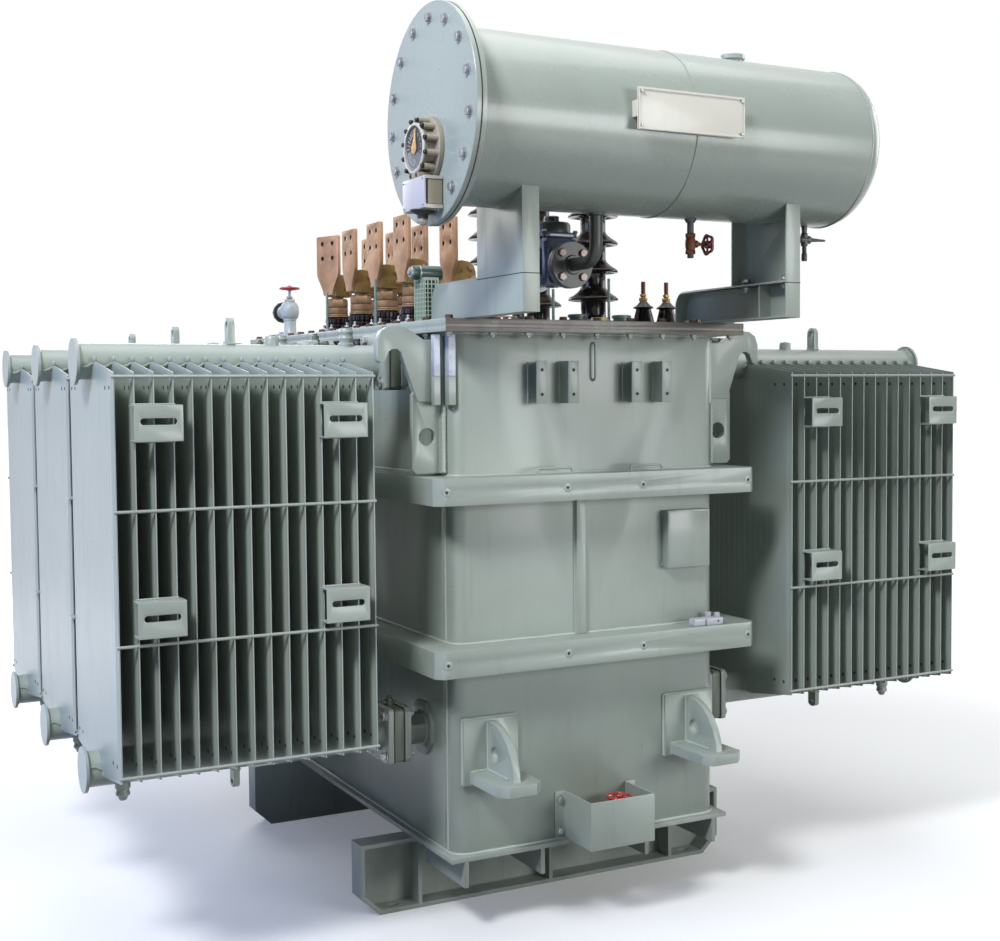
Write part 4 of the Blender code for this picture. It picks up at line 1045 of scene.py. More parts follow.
class TRANSFORMER_OT_conservator(Operator):
    """Oil conservator: rolled shell with its weld, dished end, bolted cover and filler neck."""

    bl_idname = "transformer.conservator"
    bl_label = "Conservator"

    def execute(self, context):
        coat = enamel("conservator_enamel", tuple(finish().paint), 0.2, 0.5, 0.08, 1.2)
        centre = (0, SHELL_Y, SHELL_Z)
        start = SHELL_END + END_T + 0.0004
        r = SHELL_R
        angle = np.radians(np.linspace(2, 90, 20))
        head = np.column_stack([r * np.sin(angle) ** 0.9, SHELL_STRAIGHT + HEAD_DEPTH * np.cos(angle)])
        flange = [(r, start + END_T + 0.0035), (r + 0.0035, start + END_T), (END_R - 0.001, start + END_T),
                  (END_R, start + END_T - 0.001), (END_R, start + 0.001), (END_R - 0.001, start)]
        shell = lathe([*head, (r, SHELL_STRAIGHT - 0.002), (r, 0.1), *flange], centre, "x", 144)
        seams = [bead(ring_of(180, r + 0.0002, (x, SHELL_Y, SHELL_Z), "x")[list(range(180)) + [0]], 0.0022,
                      (1, 0, 0)) for x in (0.03, SHELL_STRAIGHT)]
        seam = bead([(start + 0.02, SHELL_Y + r * 0.5, SHELL_Z - r * 0.866),
                     (SHELL_STRAIGHT, SHELL_Y + r * 0.5, SHELL_Z - r * 0.866)], 0.002, (0, 1, 0))
        neck = lathe([(0.026, -0.012), (0.026, 0.006), (0.033, 0.007), (0.033, 0.017), (0.031, 0.019),
                      (0.012, 0.0195), (0.01, 0.022)], (0.28, SHELL_Y, SHELL_Z + r), "z", 32)
        finished("conservator_shell", [shell, *seams, seam, neck], coat)
        rim = [(0.02, SHELL_END), (END_R - 0.0012, SHELL_END), (END_R, SHELL_END + 0.0012),
               (END_R, SHELL_END + END_T - 0.0012), (END_R - 0.0012, SHELL_END + END_T),
               (0.02, SHELL_END + END_T)]
        finished("conservator_cover", lathe(rim, centre, "x", 144), coat)
        back, front = SHELL_END + END_T - 0.0015, SHELL_END + END_T + 0.0019
        inner, outer = END_R - 0.004, END_R + 0.0003
        joint = lathe([(inner, back), (outer, back), (outer, front), (inner, front)], centre, "x", 120)
        piece("conservator_joint", joint, joint_rubber(), slot="seal")
        bolt_circle = 0.2227
        spots = ring_of(15, bolt_circle, (SHELL_END, SHELL_Y, SHELL_Z), "-x", 22.5)
        piece("conservator_cover_bolts", bolt(0.012, "-x", tail=2 * END_T + 0.001).copies(spots), zinc(),
              weld=False)
        return {"FINISHED"}


# Fittings


def local(part, centre, axis):
    """A part built about its own third axis, set on a named axis of the model."""
    return Part(placed(part.points, axis, centre), part.faces)


def handwheel(centre, axis, radius, stem, spokes=5, wave=0.0):
    """Round rim R(t) = R (1 + wave cos nt), hub with a bore and bowed oval spokes."""
    rim = lathe(circle(0.004, (radius, 0), 12), sides=80, closed=True)
    angle = np.arctan2(rim.points[:, 1], rim.points[:, 0])
    rim.points[:, :2] *= (1 + wave * np.cos(spokes * angle))[:, None]
    hub = lathe([(stem + 0.0006, -0.0065), (stem + 0.0056, -0.007), (stem + 0.007, -0.005),
                 (stem + 0.007, 0.005), (stem + 0.0056, 0.007), (stem + 0.0006, 0.0065)], sides=24,
                closed=True)
    t = np.linspace(0, 1, 8)
    reach = stem + 0.005 + (radius - stem - 0.006) * t
    spoke = swept(np.column_stack([reach, 0 * t, 0.0028 * np.sin(np.pi * t)]), circle(0.0023, sides=8)
                  * (1.6, 1.0))
    arms = [spoke.turned_about("Z", 360.0 * k / spokes) for k in range(spokes)]
    return local(joined([rim, hub, *arms]), centre, axis)


def hex_nut(across, low, high, centre=(0, 0, 0), axis="z", turn=0.0):
    """A hexagonal prism whose corners are cut by a cone at both ends."""
    h = high - low
    rings = [(0.93, low), (1.0, low + 0.1 * h), (1.0, high - 0.12 * h), (0.92, high)]
    flat = hexagon(across)
    c, s = math.cos(math.radians(turn)), math.sin(math.radians(turn))
    flat = flat @ np.array([(c, s), (-s, c)])
    return prism(flat, rings, axis, centre)


def lettering(text, size, right, up, out, centre, depth=0.0003):
    """Raised figures from Blender's own font, set out by their right, up and outward directions."""
    curve = bpy.data.curves.new("figures", "FONT")
    curve.body, curve.size, curve.extrude = text, size, depth
    curve.align_x, curve.align_y, curve.resolution_u = "CENTER", "CENTER", 3
    holder = bpy.data.objects.new("figures", curve)
    bpy.context.scene.collection.objects.link(holder)
    bpy.context.view_layer.update()
    shape = holder.evaluated_get(bpy.context.evaluated_depsgraph_get())
    mesh = shape.to_mesh()
    points = np.array([v.co[:] for v in mesh.vertices])
    corners = [tuple(p.vertices) for p in mesh.polygons]
    shape.to_mesh_clear()
    bpy.data.objects.remove(holder)
    bpy.data.curves.remove(curve)
    frame_axes = np.array([right, up, out], float)
    kinds = sorted({len(c) for c in corners})
    return Part(points @ frame_axes + np.asarray(centre, float),
                [[c for c in corners if len(c) == k] for k in kinds])


def stub_stud(centre, height, radius=0.004):
    """A threaded rod with a nut and washer at its foot."""
    x, y, z = centre
    return (rod((x, y, z), height, radius, "z", 12, 0.001)
            + hex_nut(radius * 3.6, z + 0.002, z + 0.009, (x, y, 0))
            + rod((x, y, z), 0.002, radius * 2.8, "z", 20))


class TRANSFORMER_OT_gauge(Operator):
    """Dial level gauge: bossed body, bright ring, dial with figures, pointer and terminal box."""

    bl_idname = "transformer.gauge"
    bl_label = "Level gauge"

    def execute(self, context):
        face, y, z = SHELL_END - 0.0004, SHELL_Y - 0.01, SHELL_Z - 0.0835
        centre = (face, y, z)
        beige = enamel("gauge_enamel", tuple(finish().beige), 0.36, 0.4, 0.5)
        pale = enamel("gauge_ring", (0.54, 0.51, 0.46), 0.25, 0.3, 0.2)
        lilac = enamel("gauge_lid", (0.5, 0.49, 0.53), 0.3, 0.2, 0.2)
        black = metal("black_screws", (0.035, 0.033, 0.032), 0.32, 0.3, metallic=0.6)
        dark = enamel("dial_dark", (0.02, 0.021, 0.017), 0.45, 0.1, 0.0)
        light = enamel("dial_light", (0.5, 0.51, 0.5), 0.5, 0.1, 0.0)
        grey = enamel("dial_grey", (0.17, 0.18, 0.18), 0.5, 0.1, 0.0)
        orange = enamel("pointer_orange", (0.8, 0.46, 0.15), 0.35, 0.1, 0.0)
        amber = enamel("limit_amber", (0.42, 0.17, 0.05), 0.35, 0.1, 0.0)
        seal = joint_rubber()
        body = lathe([(0.074, 0), (0.075, 0.001), (0.075, 0.0105), (0.0735, 0.012), (0.064, 0.0135),
                      (0.0565, 0.016), (0.0555, 0.032), (0.058, 0.0345), (0.0585, 0.0405)], centre, "-x",
                     72)
        ring = lathe([(0.0515, 0.0402), (0.059, 0.0402), (0.0596, 0.041), (0.0594, 0.044), (0.057, 0.0458),
                      (0.0535, 0.0464), (0.0518, 0.0455)], centre, "-x", 72, closed=True)
        boss = lathe([(0.0085, 0.011), (0.0072, 0.014), (0.0072, 0.038), (0.0066, 0.04)], axis="-x", sides=16)
        head = lathe([(0.0048, 0.039), (0.0054, 0.04), (0.0054, 0.0465), (0.0046, 0.0475), (0.0024, 0.0476),
                      (0.0022, 0.0452)], axis="-x", sides=16)
        spots = ring_of(12, 0.0652, centre, "-x", 15)
        lugs = boss.copies(spots)
        screws = head.copies(spots)
        plate = lathe([(0.0512, 0.0404), (0.0512, 0.0416)], centre, "-x", 60)
        up, right, out = np.array((0, 0, 1.0)), np.array((0, -1.0, 0)), np.array((-1.0, 0, 0))

        def spot(radius, degrees, lift):
            """A place on the dial by its polar coordinates and its height off the flange."""
            turn = math.radians(degrees)
            across = right * radius * math.cos(turn) + up * radius * math.sin(turn)
            return np.asarray(centre) + across + out * lift

        def flat(part):
            """A part drawn face up, set on the dial."""
            return Part(part.points @ np.array([right, up, out]) + centre, part.faces)

        def arc(low, high, start, end, steps=20):
            """The outline between two radii and two angles."""
            outside = circle(high, sides=steps, start=start, end=end)
            return np.vstack([outside, circle(low, sides=steps, start=end, end=start)])

        lower = flat(slab(arc(0.016, 0.0505, 188, 330), 0.0416, 0.0419, edge=0))
        lines = flat(slab(arc(0.0385, 0.04, 182, 268), 0.0419, 0.0422, edge=0)
                     + slab(arc(0.0475, 0.049, 176, 300), 0.0419, 0.0422, edge=0))
        stripe = box((0.026, -0.0012, 0.0419), (0.0375, 0.0012, 0.0422), 0)
        stripes = joined([flat(stripe.turned_about("Z", turn)) for turn in range(196, 272, 15)])
        mark = box((0.03, -0.0011, 0.0416), (0.045, 0.0011, 0.0421), 0)
        tick = box((0.0425, -0.0007, 0.0416), (0.0475, 0.0007, 0.0421), 0)
        marks = [flat(mark.turned_about("Z", turn)) for turn in range(98, 178, 13)]
        ticks = [flat(tick.turned_about("Z", turn)) for turn in range(-24, 70, 12)]
        figures = [lettering(str(k), 0.0115, right, up, out, spot(0.034, 58 - 27 * k, 0.0417))
                   for k in range(4)]
        teardrop = [*circle(0.0135, (0, 0), 17, 55, 305), (0.02, -0.0056), (0.047, -0.001), (0.047, 0.001),
                    (0.02, 0.0056)]
        thin = [(-0.012, 0.0026), (-0.012, -0.0026), (0.044, -0.001), (0.044, 0.001)]
        hub = lathe([(0.0078, 0.045), (0.0078, 0.0456), (0.006, 0.0462), (0.002, 0.0463)], sides=28)
        hand = flat(slab(teardrop, 0.0436, 0.045, edge=0.0005).turned_about("Z", 78) + hub)
        limit = flat(slab(thin, 0.0426, 0.0433, edge=0.0002).turned_about("Z", 163))
        glass = lathe([(0.0517, 0.0464), (0.0517, 0.0472)], centre, "-x", 60)
        top, foot = z - 0.0695, z - 0.1435
        case = box((face - 0.039, y - 0.0655, foot + 0.001), (face - 0.0012, y + 0.0615, top - 0.001),
                   0.003, "x")
        caps = (box((face - 0.047, y - 0.067, top - 0.0075), (face - 0.001, y + 0.063, top + 0.0002), 0.002,
                    "x") + box((face - 0.047, y - 0.067, foot - 0.0002),
                               (face - 0.001, y + 0.063, foot + 0.0085), 0.002, "x"))
        lid = box((face - 0.048, y - 0.066, foot + 0.001), (face - 0.043, y + 0.062, top - 0.001), 0.002, "x")
        joints = (box((face - 0.0425, y - 0.066, top - 0.009), (face - 0.002, y + 0.062, top - 0.007), 0,
                      "x") + box((face - 0.0425, y - 0.066, foot + 0.008),
                                 (face - 0.002, y + 0.062, foot + 0.0098), 0, "x")
                  + box((face - 0.0435, y - 0.065, foot + 0.0025), (face - 0.0385, y + 0.061, top - 0.0025),
                        0, "x"))
        corners = [(face - 0.048, y + a, z - 0.1065 + b) for a in (-0.058, 0.054) for b in (-0.03, 0.03)]
        small = lathe([(0.0018, 0.0), (0.0024, 0.0006), (0.0024, 0.0012), (0.0012, 0.0014)], axis="-x",
                      sides=12)
        cap = lathe([(0.03, 0.1415), (0.03, 0.1435), (0.026, 0.146), (0.016, 0.152), (0.013, 0.153),
                     (0.012, 0.162)], (face - 0.024, y - 0.002, z), "-z", 32)
        gland = (hex_nut(0.021, 0.16, 0.172, (face - 0.024, y - 0.002, z), "-z")
                 + lathe([(0.0085, 0.172), (0.0085, 0.1755), (0.006, 0.176)], (face - 0.024, y - 0.002, z),
                         "-z", 20))
        flange = box((face - 0.046, y - 0.03, top), (face - 0.004, y + 0.026, top + 0.012), 0.002, "x")
        finished("level_gauge", [(body + lugs + case + flange, beige), (ring + caps, pale), (lid, lilac),
                                 (screws, black), (small.copies(corners), grey), (plate, dark),
                                 (lower, grey), (lines + stripes, light),
                                 (joined(marks + ticks + figures), light), (hand, orange), (limit, amber),
                                 (joints + cap, seal), (gland, beige)], slot="beige_paint", weld=False)
        cover = piece("level_gauge_glass", glass, self.glass(), slot="beige_paint")
        cover.visible_shadow = False
        return {"FINISHED"}

    @staticmethod
    def glass():
        """Clear glass that shows as a thin sheen with dust."""
        r = Recipe("gauge_glass")
        dusty = r.noise(60.0, 4.0, 0.7).band(0.45, 0.8)
        return r.done(base_color=(0.1, 0.11, 0.11), roughness=0.04 + dusty * 0.3, alpha=0.06 + dusty * 0.06,
                      normal=r.bump(r.noise(15.0, 1.0), 0.0002, 0.2))


class TRANSFORMER_OT_relay(Operator):
    """Gas relay with sight windows between two flanged pipes."""

    bl_idname = "transformer.relay"
    bl_label = "Gas relay line"

    def execute(self, context):
        x, y, z = RELAY_X, SHELL_Y, RELAY_Z
        pipe, wide, thick, bend = 0.01685, 0.06, 0.012, 0.052
        face = RELAY_FACE
        far, middle = face + 0.2, face + 0.1
        dark = primer()
        blue = enamel("relay_enamel", tuple(finish().relay), 0.16, 0.4, 0.3)
        heads = metal("plated_bolts", (0.3, 0.25, 0.23), 0.46, 0.5)
        sides = 48
        front = lathe([(wide - 0.001, face - thick), (wide, face - thick + 0.001), (wide, face - 0.001),
                       (wide - 0.001, face)], (x, 0, z), "y", sides)
        collar = lathe([(pipe + 0.006, face - thick - 0.006), (pipe + 0.006, face - thick - 0.002),
                        (pipe + 0.009, face - thick)], (x, 0, z), "y", 32)
        drop = tube([(x, y, 1.8812), (x, y, z), (x, face - thick - 0.0005, z)], pipe, bend, 28, (1, 0, 0), 14)
        sleeve = lathe([(pipe + 0.007, 0.0), (pipe + 0.005, -0.006), (pipe + 0.001, -0.008)],
                       (x, y, 1.8815), "z", 32)
        ring = ring_of(4, 0.0433, (x, face - thick, z), "-y", 45)
        heads_front = bolt(0.0125, "-y", washer=False).copies(ring)
        finished("relay_pipe_front", [(front + collar + drop + sleeve, dark), (heads_front, heads)],
              slot="dark_metal", weld=False)
        end = far + 0.095
        rear = lathe([(wide - 0.001, far), (wide, far + 0.001), (wide, far + thick - 0.001),
                      (wide - 0.001, far + thick)], (x, 0, z), "y", sides)
        fall = tube([(x, far + thick, z), (x, end, z), (x, end, COVER_TOP + 0.01)], pipe, bend, 28,
                    (1, 0, 0), 14)
        foot = lathe([(wide - 0.008, 0.0004), (wide - 0.008, 0.011), (wide - 0.01, 0.012),
                      (pipe + 0.004, 0.0125), (pipe + 0.001, 0.018)], (x, end, COVER_TOP), "z", 40)
        heads_rear = (bolt(0.0125, "y", washer=False).copies(ring_of(4, 0.0433, (x, far + thick, z), "y", 45))
                      + bolt(0.009).copies(ring_of(4, 0.037, (x, end, COVER_TOP + 0.012), "z", 45)))
        finished("relay_pipe_rear", [(rear + fall + foot, dark), (heads_rear, heads)], slot="dark_metal",
                 weld=False)
        ends = [lathe([(wide - 0.001, a), (wide, a + 0.001 * s), (wide, b - 0.001 * s), (wide - 0.001, b),
                       (0.03, b + 0.002 * s), (0.026, b + 0.01 * s), (0.026, b + 0.045 * s)], (x, 0, z),
                      "y", sides) for a, b, s in ((face + 0.0004, face + 0.014, 1),
                                                  (far - 0.0004, far - 0.014, -1))]
        shell = slab(rounded((x - 0.048, middle - 0.048), (x + 0.048, middle + 0.048), 0.02, 6), z - 0.048,
                     z + 0.076, edge=0.005)
        rim = slab(rounded((x - 0.056, middle - 0.056), (x + 0.056, middle + 0.056), 0.022, 6), z + 0.0765,
                   z + 0.0895, edge=0.002)
        lid = lathe([(0.05, 0.0895), (0.05, 0.112), (0.046, 0.118), (0.021, 0.122), (0.02, 0.124),
                     (0.02, 0.133), (0.017, 0.136)], (x, middle, z), "z", 40)
        plug = lathe([(0.016, 0.048), (0.016, 0.0515), (0.012, 0.052)], (x, middle, z), "-z", 24)
        knob = tube([(x, middle - 0.028, z + 0.118), (x, middle - 0.028, z + 0.133)], 0.006, sides=14,
                    up=(1, 0, 0))
        frames, panes, screws = [], [], []
        for s in (-1, 1):
            side = "-x" if s < 0 else "x"
            window = [(-0.02, -0.014), (0.02, -0.014), (0.02, 0.04), (-0.02, 0.04)]
            outer = rounded((-0.03, -0.024), (0.03, 0.05), 0.006, 4)
            flat = slab(outer, 0.0478, 0.054, edge=0.001, holes=(window,))
            glass = slab(window, 0.048, 0.05, edge=0)
            turn = np.array([(0, 1.0, 0), (0, 0, 1.0), (s, 0, 0)])
            for part, group in ((flat, frames), (glass, panes)):
                group.append(Part(part.points @ turn + (x, middle, z), part.faces))
            places = [(x + s * 0.054, middle + a, z + b) for a in (-0.025, 0.025) for b in (-0.019, 0.045)]
            screws.append(bolt(0.0045, side, washer=False).copies(places))
        clamp = bolt(0.007, tail=0.016).copies([(x + a, middle + b, z + 0.0897) for a in (-0.046, 0.046)
                                                for b in (-0.046, 0.046)])
        finished("gas_relay",
              [(joined([*ends, shell, plug]), blue), (joined(frames), blue), (rim, blue), (lid + knob, dark),
               (joined(panes), enamel("sight_pane", (0.012, 0.014, 0.018), 0.08, 0.1, 0.0)),
               (joined(screws) + clamp, heads)], slot="relay_paint", weld=False)
        return {"FINISHED"}


class TRANSFORMER_OT_high_voltage(Operator):
    """High-voltage bushings with drooping sheds, and the two small ones, with their clamps and studs."""

    bl_idname = "transformer.high_voltage"
    bl_label = "High-voltage bushings"

    def execute(self, context):
        low = COVER_TOP + 0.0004
        china = glaze("bushing_glaze", tuple(finish().porcelain))
        rim = metal("clamp_alloy", (0.46, 0.47, 0.47), 0.42, 0.5)
        brass = metal("turned_studs", (0.3, 0.195, 0.08), 0.34, 0.5)
        red = metal("red_brass", (0.11, 0.03, 0.026), 0.34, 0.4, metallic=0.7)
        seal = joint_rubber()
        r, tip = 0.036, 0.072
        profile = [(0.0395, 0.013), (0.0395, 0.02), (r + 0.0005, 0.026), (r, 0.03)]
        for k in range(5):
            c = 0.079 * (k + 1)
            profile += [(r, c - 0.013), (0.0385, c - 0.0085), (0.046, c - 0.0045), (0.058, c - 0.0072),
                        (0.0665, c - 0.0092), (0.07, c - 0.0088), (tip, c - 0.0055), (0.0712, c - 0.0028),
                        (0.066, c + 0.002), (0.054, c + 0.0095), (0.044, c + 0.0175), (0.0385, c + 0.024),
                        (r, c + 0.03)]
        profile += [(r, 0.404), (0.031, 0.416), (0.024, 0.418)]
        body = lathe(profile, sides=64)
        base = lathe([(0.053, 0.0), (0.054, 0.001), (0.054, 0.0095), (0.0525, 0.011), (0.043, 0.0125),
                      (0.04, 0.016)], sides=48)
        cap = lathe([(0.026, 0.417), (0.026, 0.4225), (0.022, 0.425), (0.012, 0.426)], sides=32)
        stud = rod((0, 0, 0.424), 0.0155, 0.0055, "z", 16, 0.001) + hex_nut(0.019, 0.4262, 0.4345)
        clamps = bolt(0.008).copies(ring_of(6, 0.0475, (0, 0, 0.0112), "z"))
        for k, y in enumerate(HV_Y):
            spot = (HV_X, y, low)
            finished(f"hv_bushing_{k + 1}", [(body.moved(*spot), china),
                                             (base.moved(*spot) + clamps.moved(*spot), rim),
                                             (cap.moved(*spot), rim), (stud.moved(*spot), brass)],
                     slot="porcelain", weld=False)
        small = [(0.0325, 0.0055), (0.0335, 0.0065), (0.0335, 0.012), (0.0315, 0.02), (0.028, 0.034),
                 (0.0245, 0.046), (0.0228, 0.053), (0.03, 0.0555), (0.0306, 0.058), (0.025, 0.062),
                 (0.019, 0.0665), (0.0145, 0.072), (0.0115, 0.0745)]
        nuts = (lathe([(0.0112, 0.0735), (0.0112, 0.0765), (0.0085, 0.077)], sides=24)
                + hex_nut(0.0215, 0.0765, 0.087) + hex_nut(0.018, 0.09, 0.097, turn=20))
        post = rod((0, 0, 0.084), 0.05, 0.0066, "z", 14, 0.001)
        thin = rod((0, 0, 0.12), 0.0078, 0.003, "z", 10)
        seat = lathe([(0.033, 0.005), (0.033, 0.0085), (0.0305, 0.0095)], sides=32)
        y = SMALL_Y
        plate = slab(rounded((0.281, y - 0.038), (0.438, y + 0.038), 0.01, 5), low, low + 0.005, edge=0.001)
        spots = [(x, y, low) for x in SMALL_X]
        studs = bolt(0.006).copies([(x, y + b, low + 0.005) for x in (0.29, 0.3595, 0.429)
                                    for b in (-0.029, 0.029)])
        finished("small_bushings", [(lathe(small, sides=48).copies(spots), china),
                                    (post.copies(spots), red), ((thin + nuts).copies(spots), brass),
                                    (seat.copies(spots), seal), (plate + studs, rim)], slot="porcelain",
                 weld=False)
        return {"FINISHED"}


class TRANSFORMER_OT_low_voltage(Operator):
    """Low-voltage bushings with toothed porcelain, collars, nuts, cast clamps and drilled flags."""

    bl_idname = "transformer.low_voltage"
    bl_label = "Low-voltage terminals"

    def execute(self, context):
        low = COVER_TOP + 0.0004
        rows, columns = LV_X, LV_Y
        china = glaze("toothed_glaze", shade(finish().porcelain, 1.3))
        copper = metal("flag_copper", tuple(finish().copper), 0.42, 0.45, metallic=0.75,
                       second=(0.25, 0.14, 0.08))
        cast = metal("cast_brass", (0.27, 0.175, 0.07), 0.48, 0.8, metallic=0.8, second=(0.08, 0.048, 0.02))
        turned = metal("turned_brass", (0.29, 0.18, 0.105), 0.42, 0.5, metallic=0.85,
                       second=(0.17, 0.095, 0.05))
        steel, seal = zinc(), joint_rubber()
        # Near-black painted shade inside the flags' holes and in the collars' grooves.
        black = enamel("hole_and_groove_shade", (0.016, 0.013, 0.011), 0.6, 0.2, 0.0)
        ribs = [(0.0385, 0.0085), (0.0392, 0.012), (0.0392, 0.024), (0.0345, 0.0268), (0.0345, 0.03),
                (0.0392, 0.033), (0.0392, 0.0455), (0.0345, 0.0485), (0.035, 0.052)]
        body = lathe(ribs, sides=128)
        angle = np.arctan2(body.points[:, 1], body.points[:, 0])
        body.points[:, :2] *= (1 - 0.095 * (0.5 + 0.5 * np.tanh(3 * np.cos(16 * angle))))[:, None]
        rims = lathe([(0.0355, 0.0515), (0.037, 0.052), (0.037, 0.0545), (0.035, 0.056)], sides=48)
        studs = stub_stud((0, 0, 0), 0.02, 0.004).copies(ring_of(4, 0.047, (0, 0, 0.008), "z", 45))
        washer = lathe([(0.044, 0.008), (0.044, 0.01), (0.04, 0.011)], sides=40)
        for x, label in zip(rows, ("outer", "inner")):
            plate = slab(rounded((x - 0.055, columns[0] - 0.06), (x + 0.055, columns[-1] + 0.06), 0.012, 5),
                         low, low + 0.008, edge=0.0012)
            spots = [(x, y, low) for y in columns]
            finished(f"lv_bushings_{label}",
                  [(body.copies(spots), china), (rims.copies(spots), turned), (studs.copies(spots), steel),
                   (washer.copies(spots), seal), (plate, paint())], slot="porcelain", weld=False)
        seat = low + 0.0564
        collar = lathe([(0.032, 0.0), (0.0335, 0.001), (0.0335, 0.0045), (0.0312, 0.006), (0.0318, 0.007),
                        (0.0325, 0.0085), (0.0325, 0.0235), (0.031, 0.025)], sides=56)
        nut = hex_nut(0.056, 0.0255, 0.052, turn=12)
        shade_rings = joined([lathe([(0.029, z), (r, z), (r, z + 0.001), (0.029, z + 0.001)], sides=48,
                                    closed=True) for r, z in ((0.0324, 0.0056), (0.0318, 0.025),
                                                              (0.0262, 0.052))])
        neck = rod((0, 0, 0.0515), 0.012, 0.019, "z", 28)
        rise = np.linspace(0, 1, 12)
        half = 0.0215 + (0.0518 - 0.0215) * (rise ** 2 * (3 - 2 * rise))
        side = np.column_stack([half, 0.064 + 0.073 * rise])
        outline = [*side, (0.0518, 0.246), (0.049, 0.25), (-0.049, 0.25), (-0.0518, 0.246),
                   *(side[::-1] * (-1, 1))]
        holes = [circle(0.0072, (a, b), 18) for a in (-0.024, 0.024) for b in (0.18, 0.226)]
        flag = slab(outline, -0.04, -0.0285, "x", edge=0.0012, holes=holes)
        # Dark tubes lining the flags' holes: painted shade.
        bore_shades = joined([lathe([(0.006, 0.029), (0.0073, 0.029), (0.0073, 0.0396), (0.006, 0.0396)],
                              (0, a, b), "-x", 18, closed=True) for a in (-0.024, 0.024)
                        for b in (0.18, 0.226)])
        rib = slab([(-0.029, 0.066), (-0.024, 0.066), (-0.024, 0.15), (-0.029, 0.186)], -0.0035, 0.0035, "y",
                   edge=0.001)
        swell = [(-0.0288, 0.06), (0.03, 0.058), (0.0385, 0.064), (0.04, 0.078), (0.039, 0.098),
                 (0.033, 0.115), (0.018, 0.127), (-0.005, 0.13), (-0.0288, 0.127)]
        jaw = [slab([(b, a) for a, b in swell], low_y, high_y, "y", edge=0.003)
               for low_y, high_y in ((-0.0265, -0.0015), (0.0015, 0.0265))]
        web = box((-0.027, -0.002, 0.064), (0.034, 0.002, 0.118), 0.0004)
        clamp = bolt(0.009, "-y", tail=0.053).copies([(0.026, -0.0265, 0.078), (0.02, -0.0265, 0.108)])
        for x, label in zip(rows, ("outer", "inner")):
            for k, y in enumerate(columns):
                spot = (x, y, seat)
                turn = 20 if (label, k) == ("outer", 3) else 0
                turned_top = [(part.moved(*spot).turned_about("Z", turn, spot), kind) for part,
                              kind in ((neck + joined(jaw) + web, cast), (flag + rib, copper),
                                       (clamp, turned), (bore_shades, black))]
                finished(f"lv_terminal_{label}_{k + 1}",
                      [((collar + nut).moved(*spot), turned), (shade_rings.moved(*spot), black), *turned_top],
                      slot="brass", weld=False)
        return {"FINISHED"}


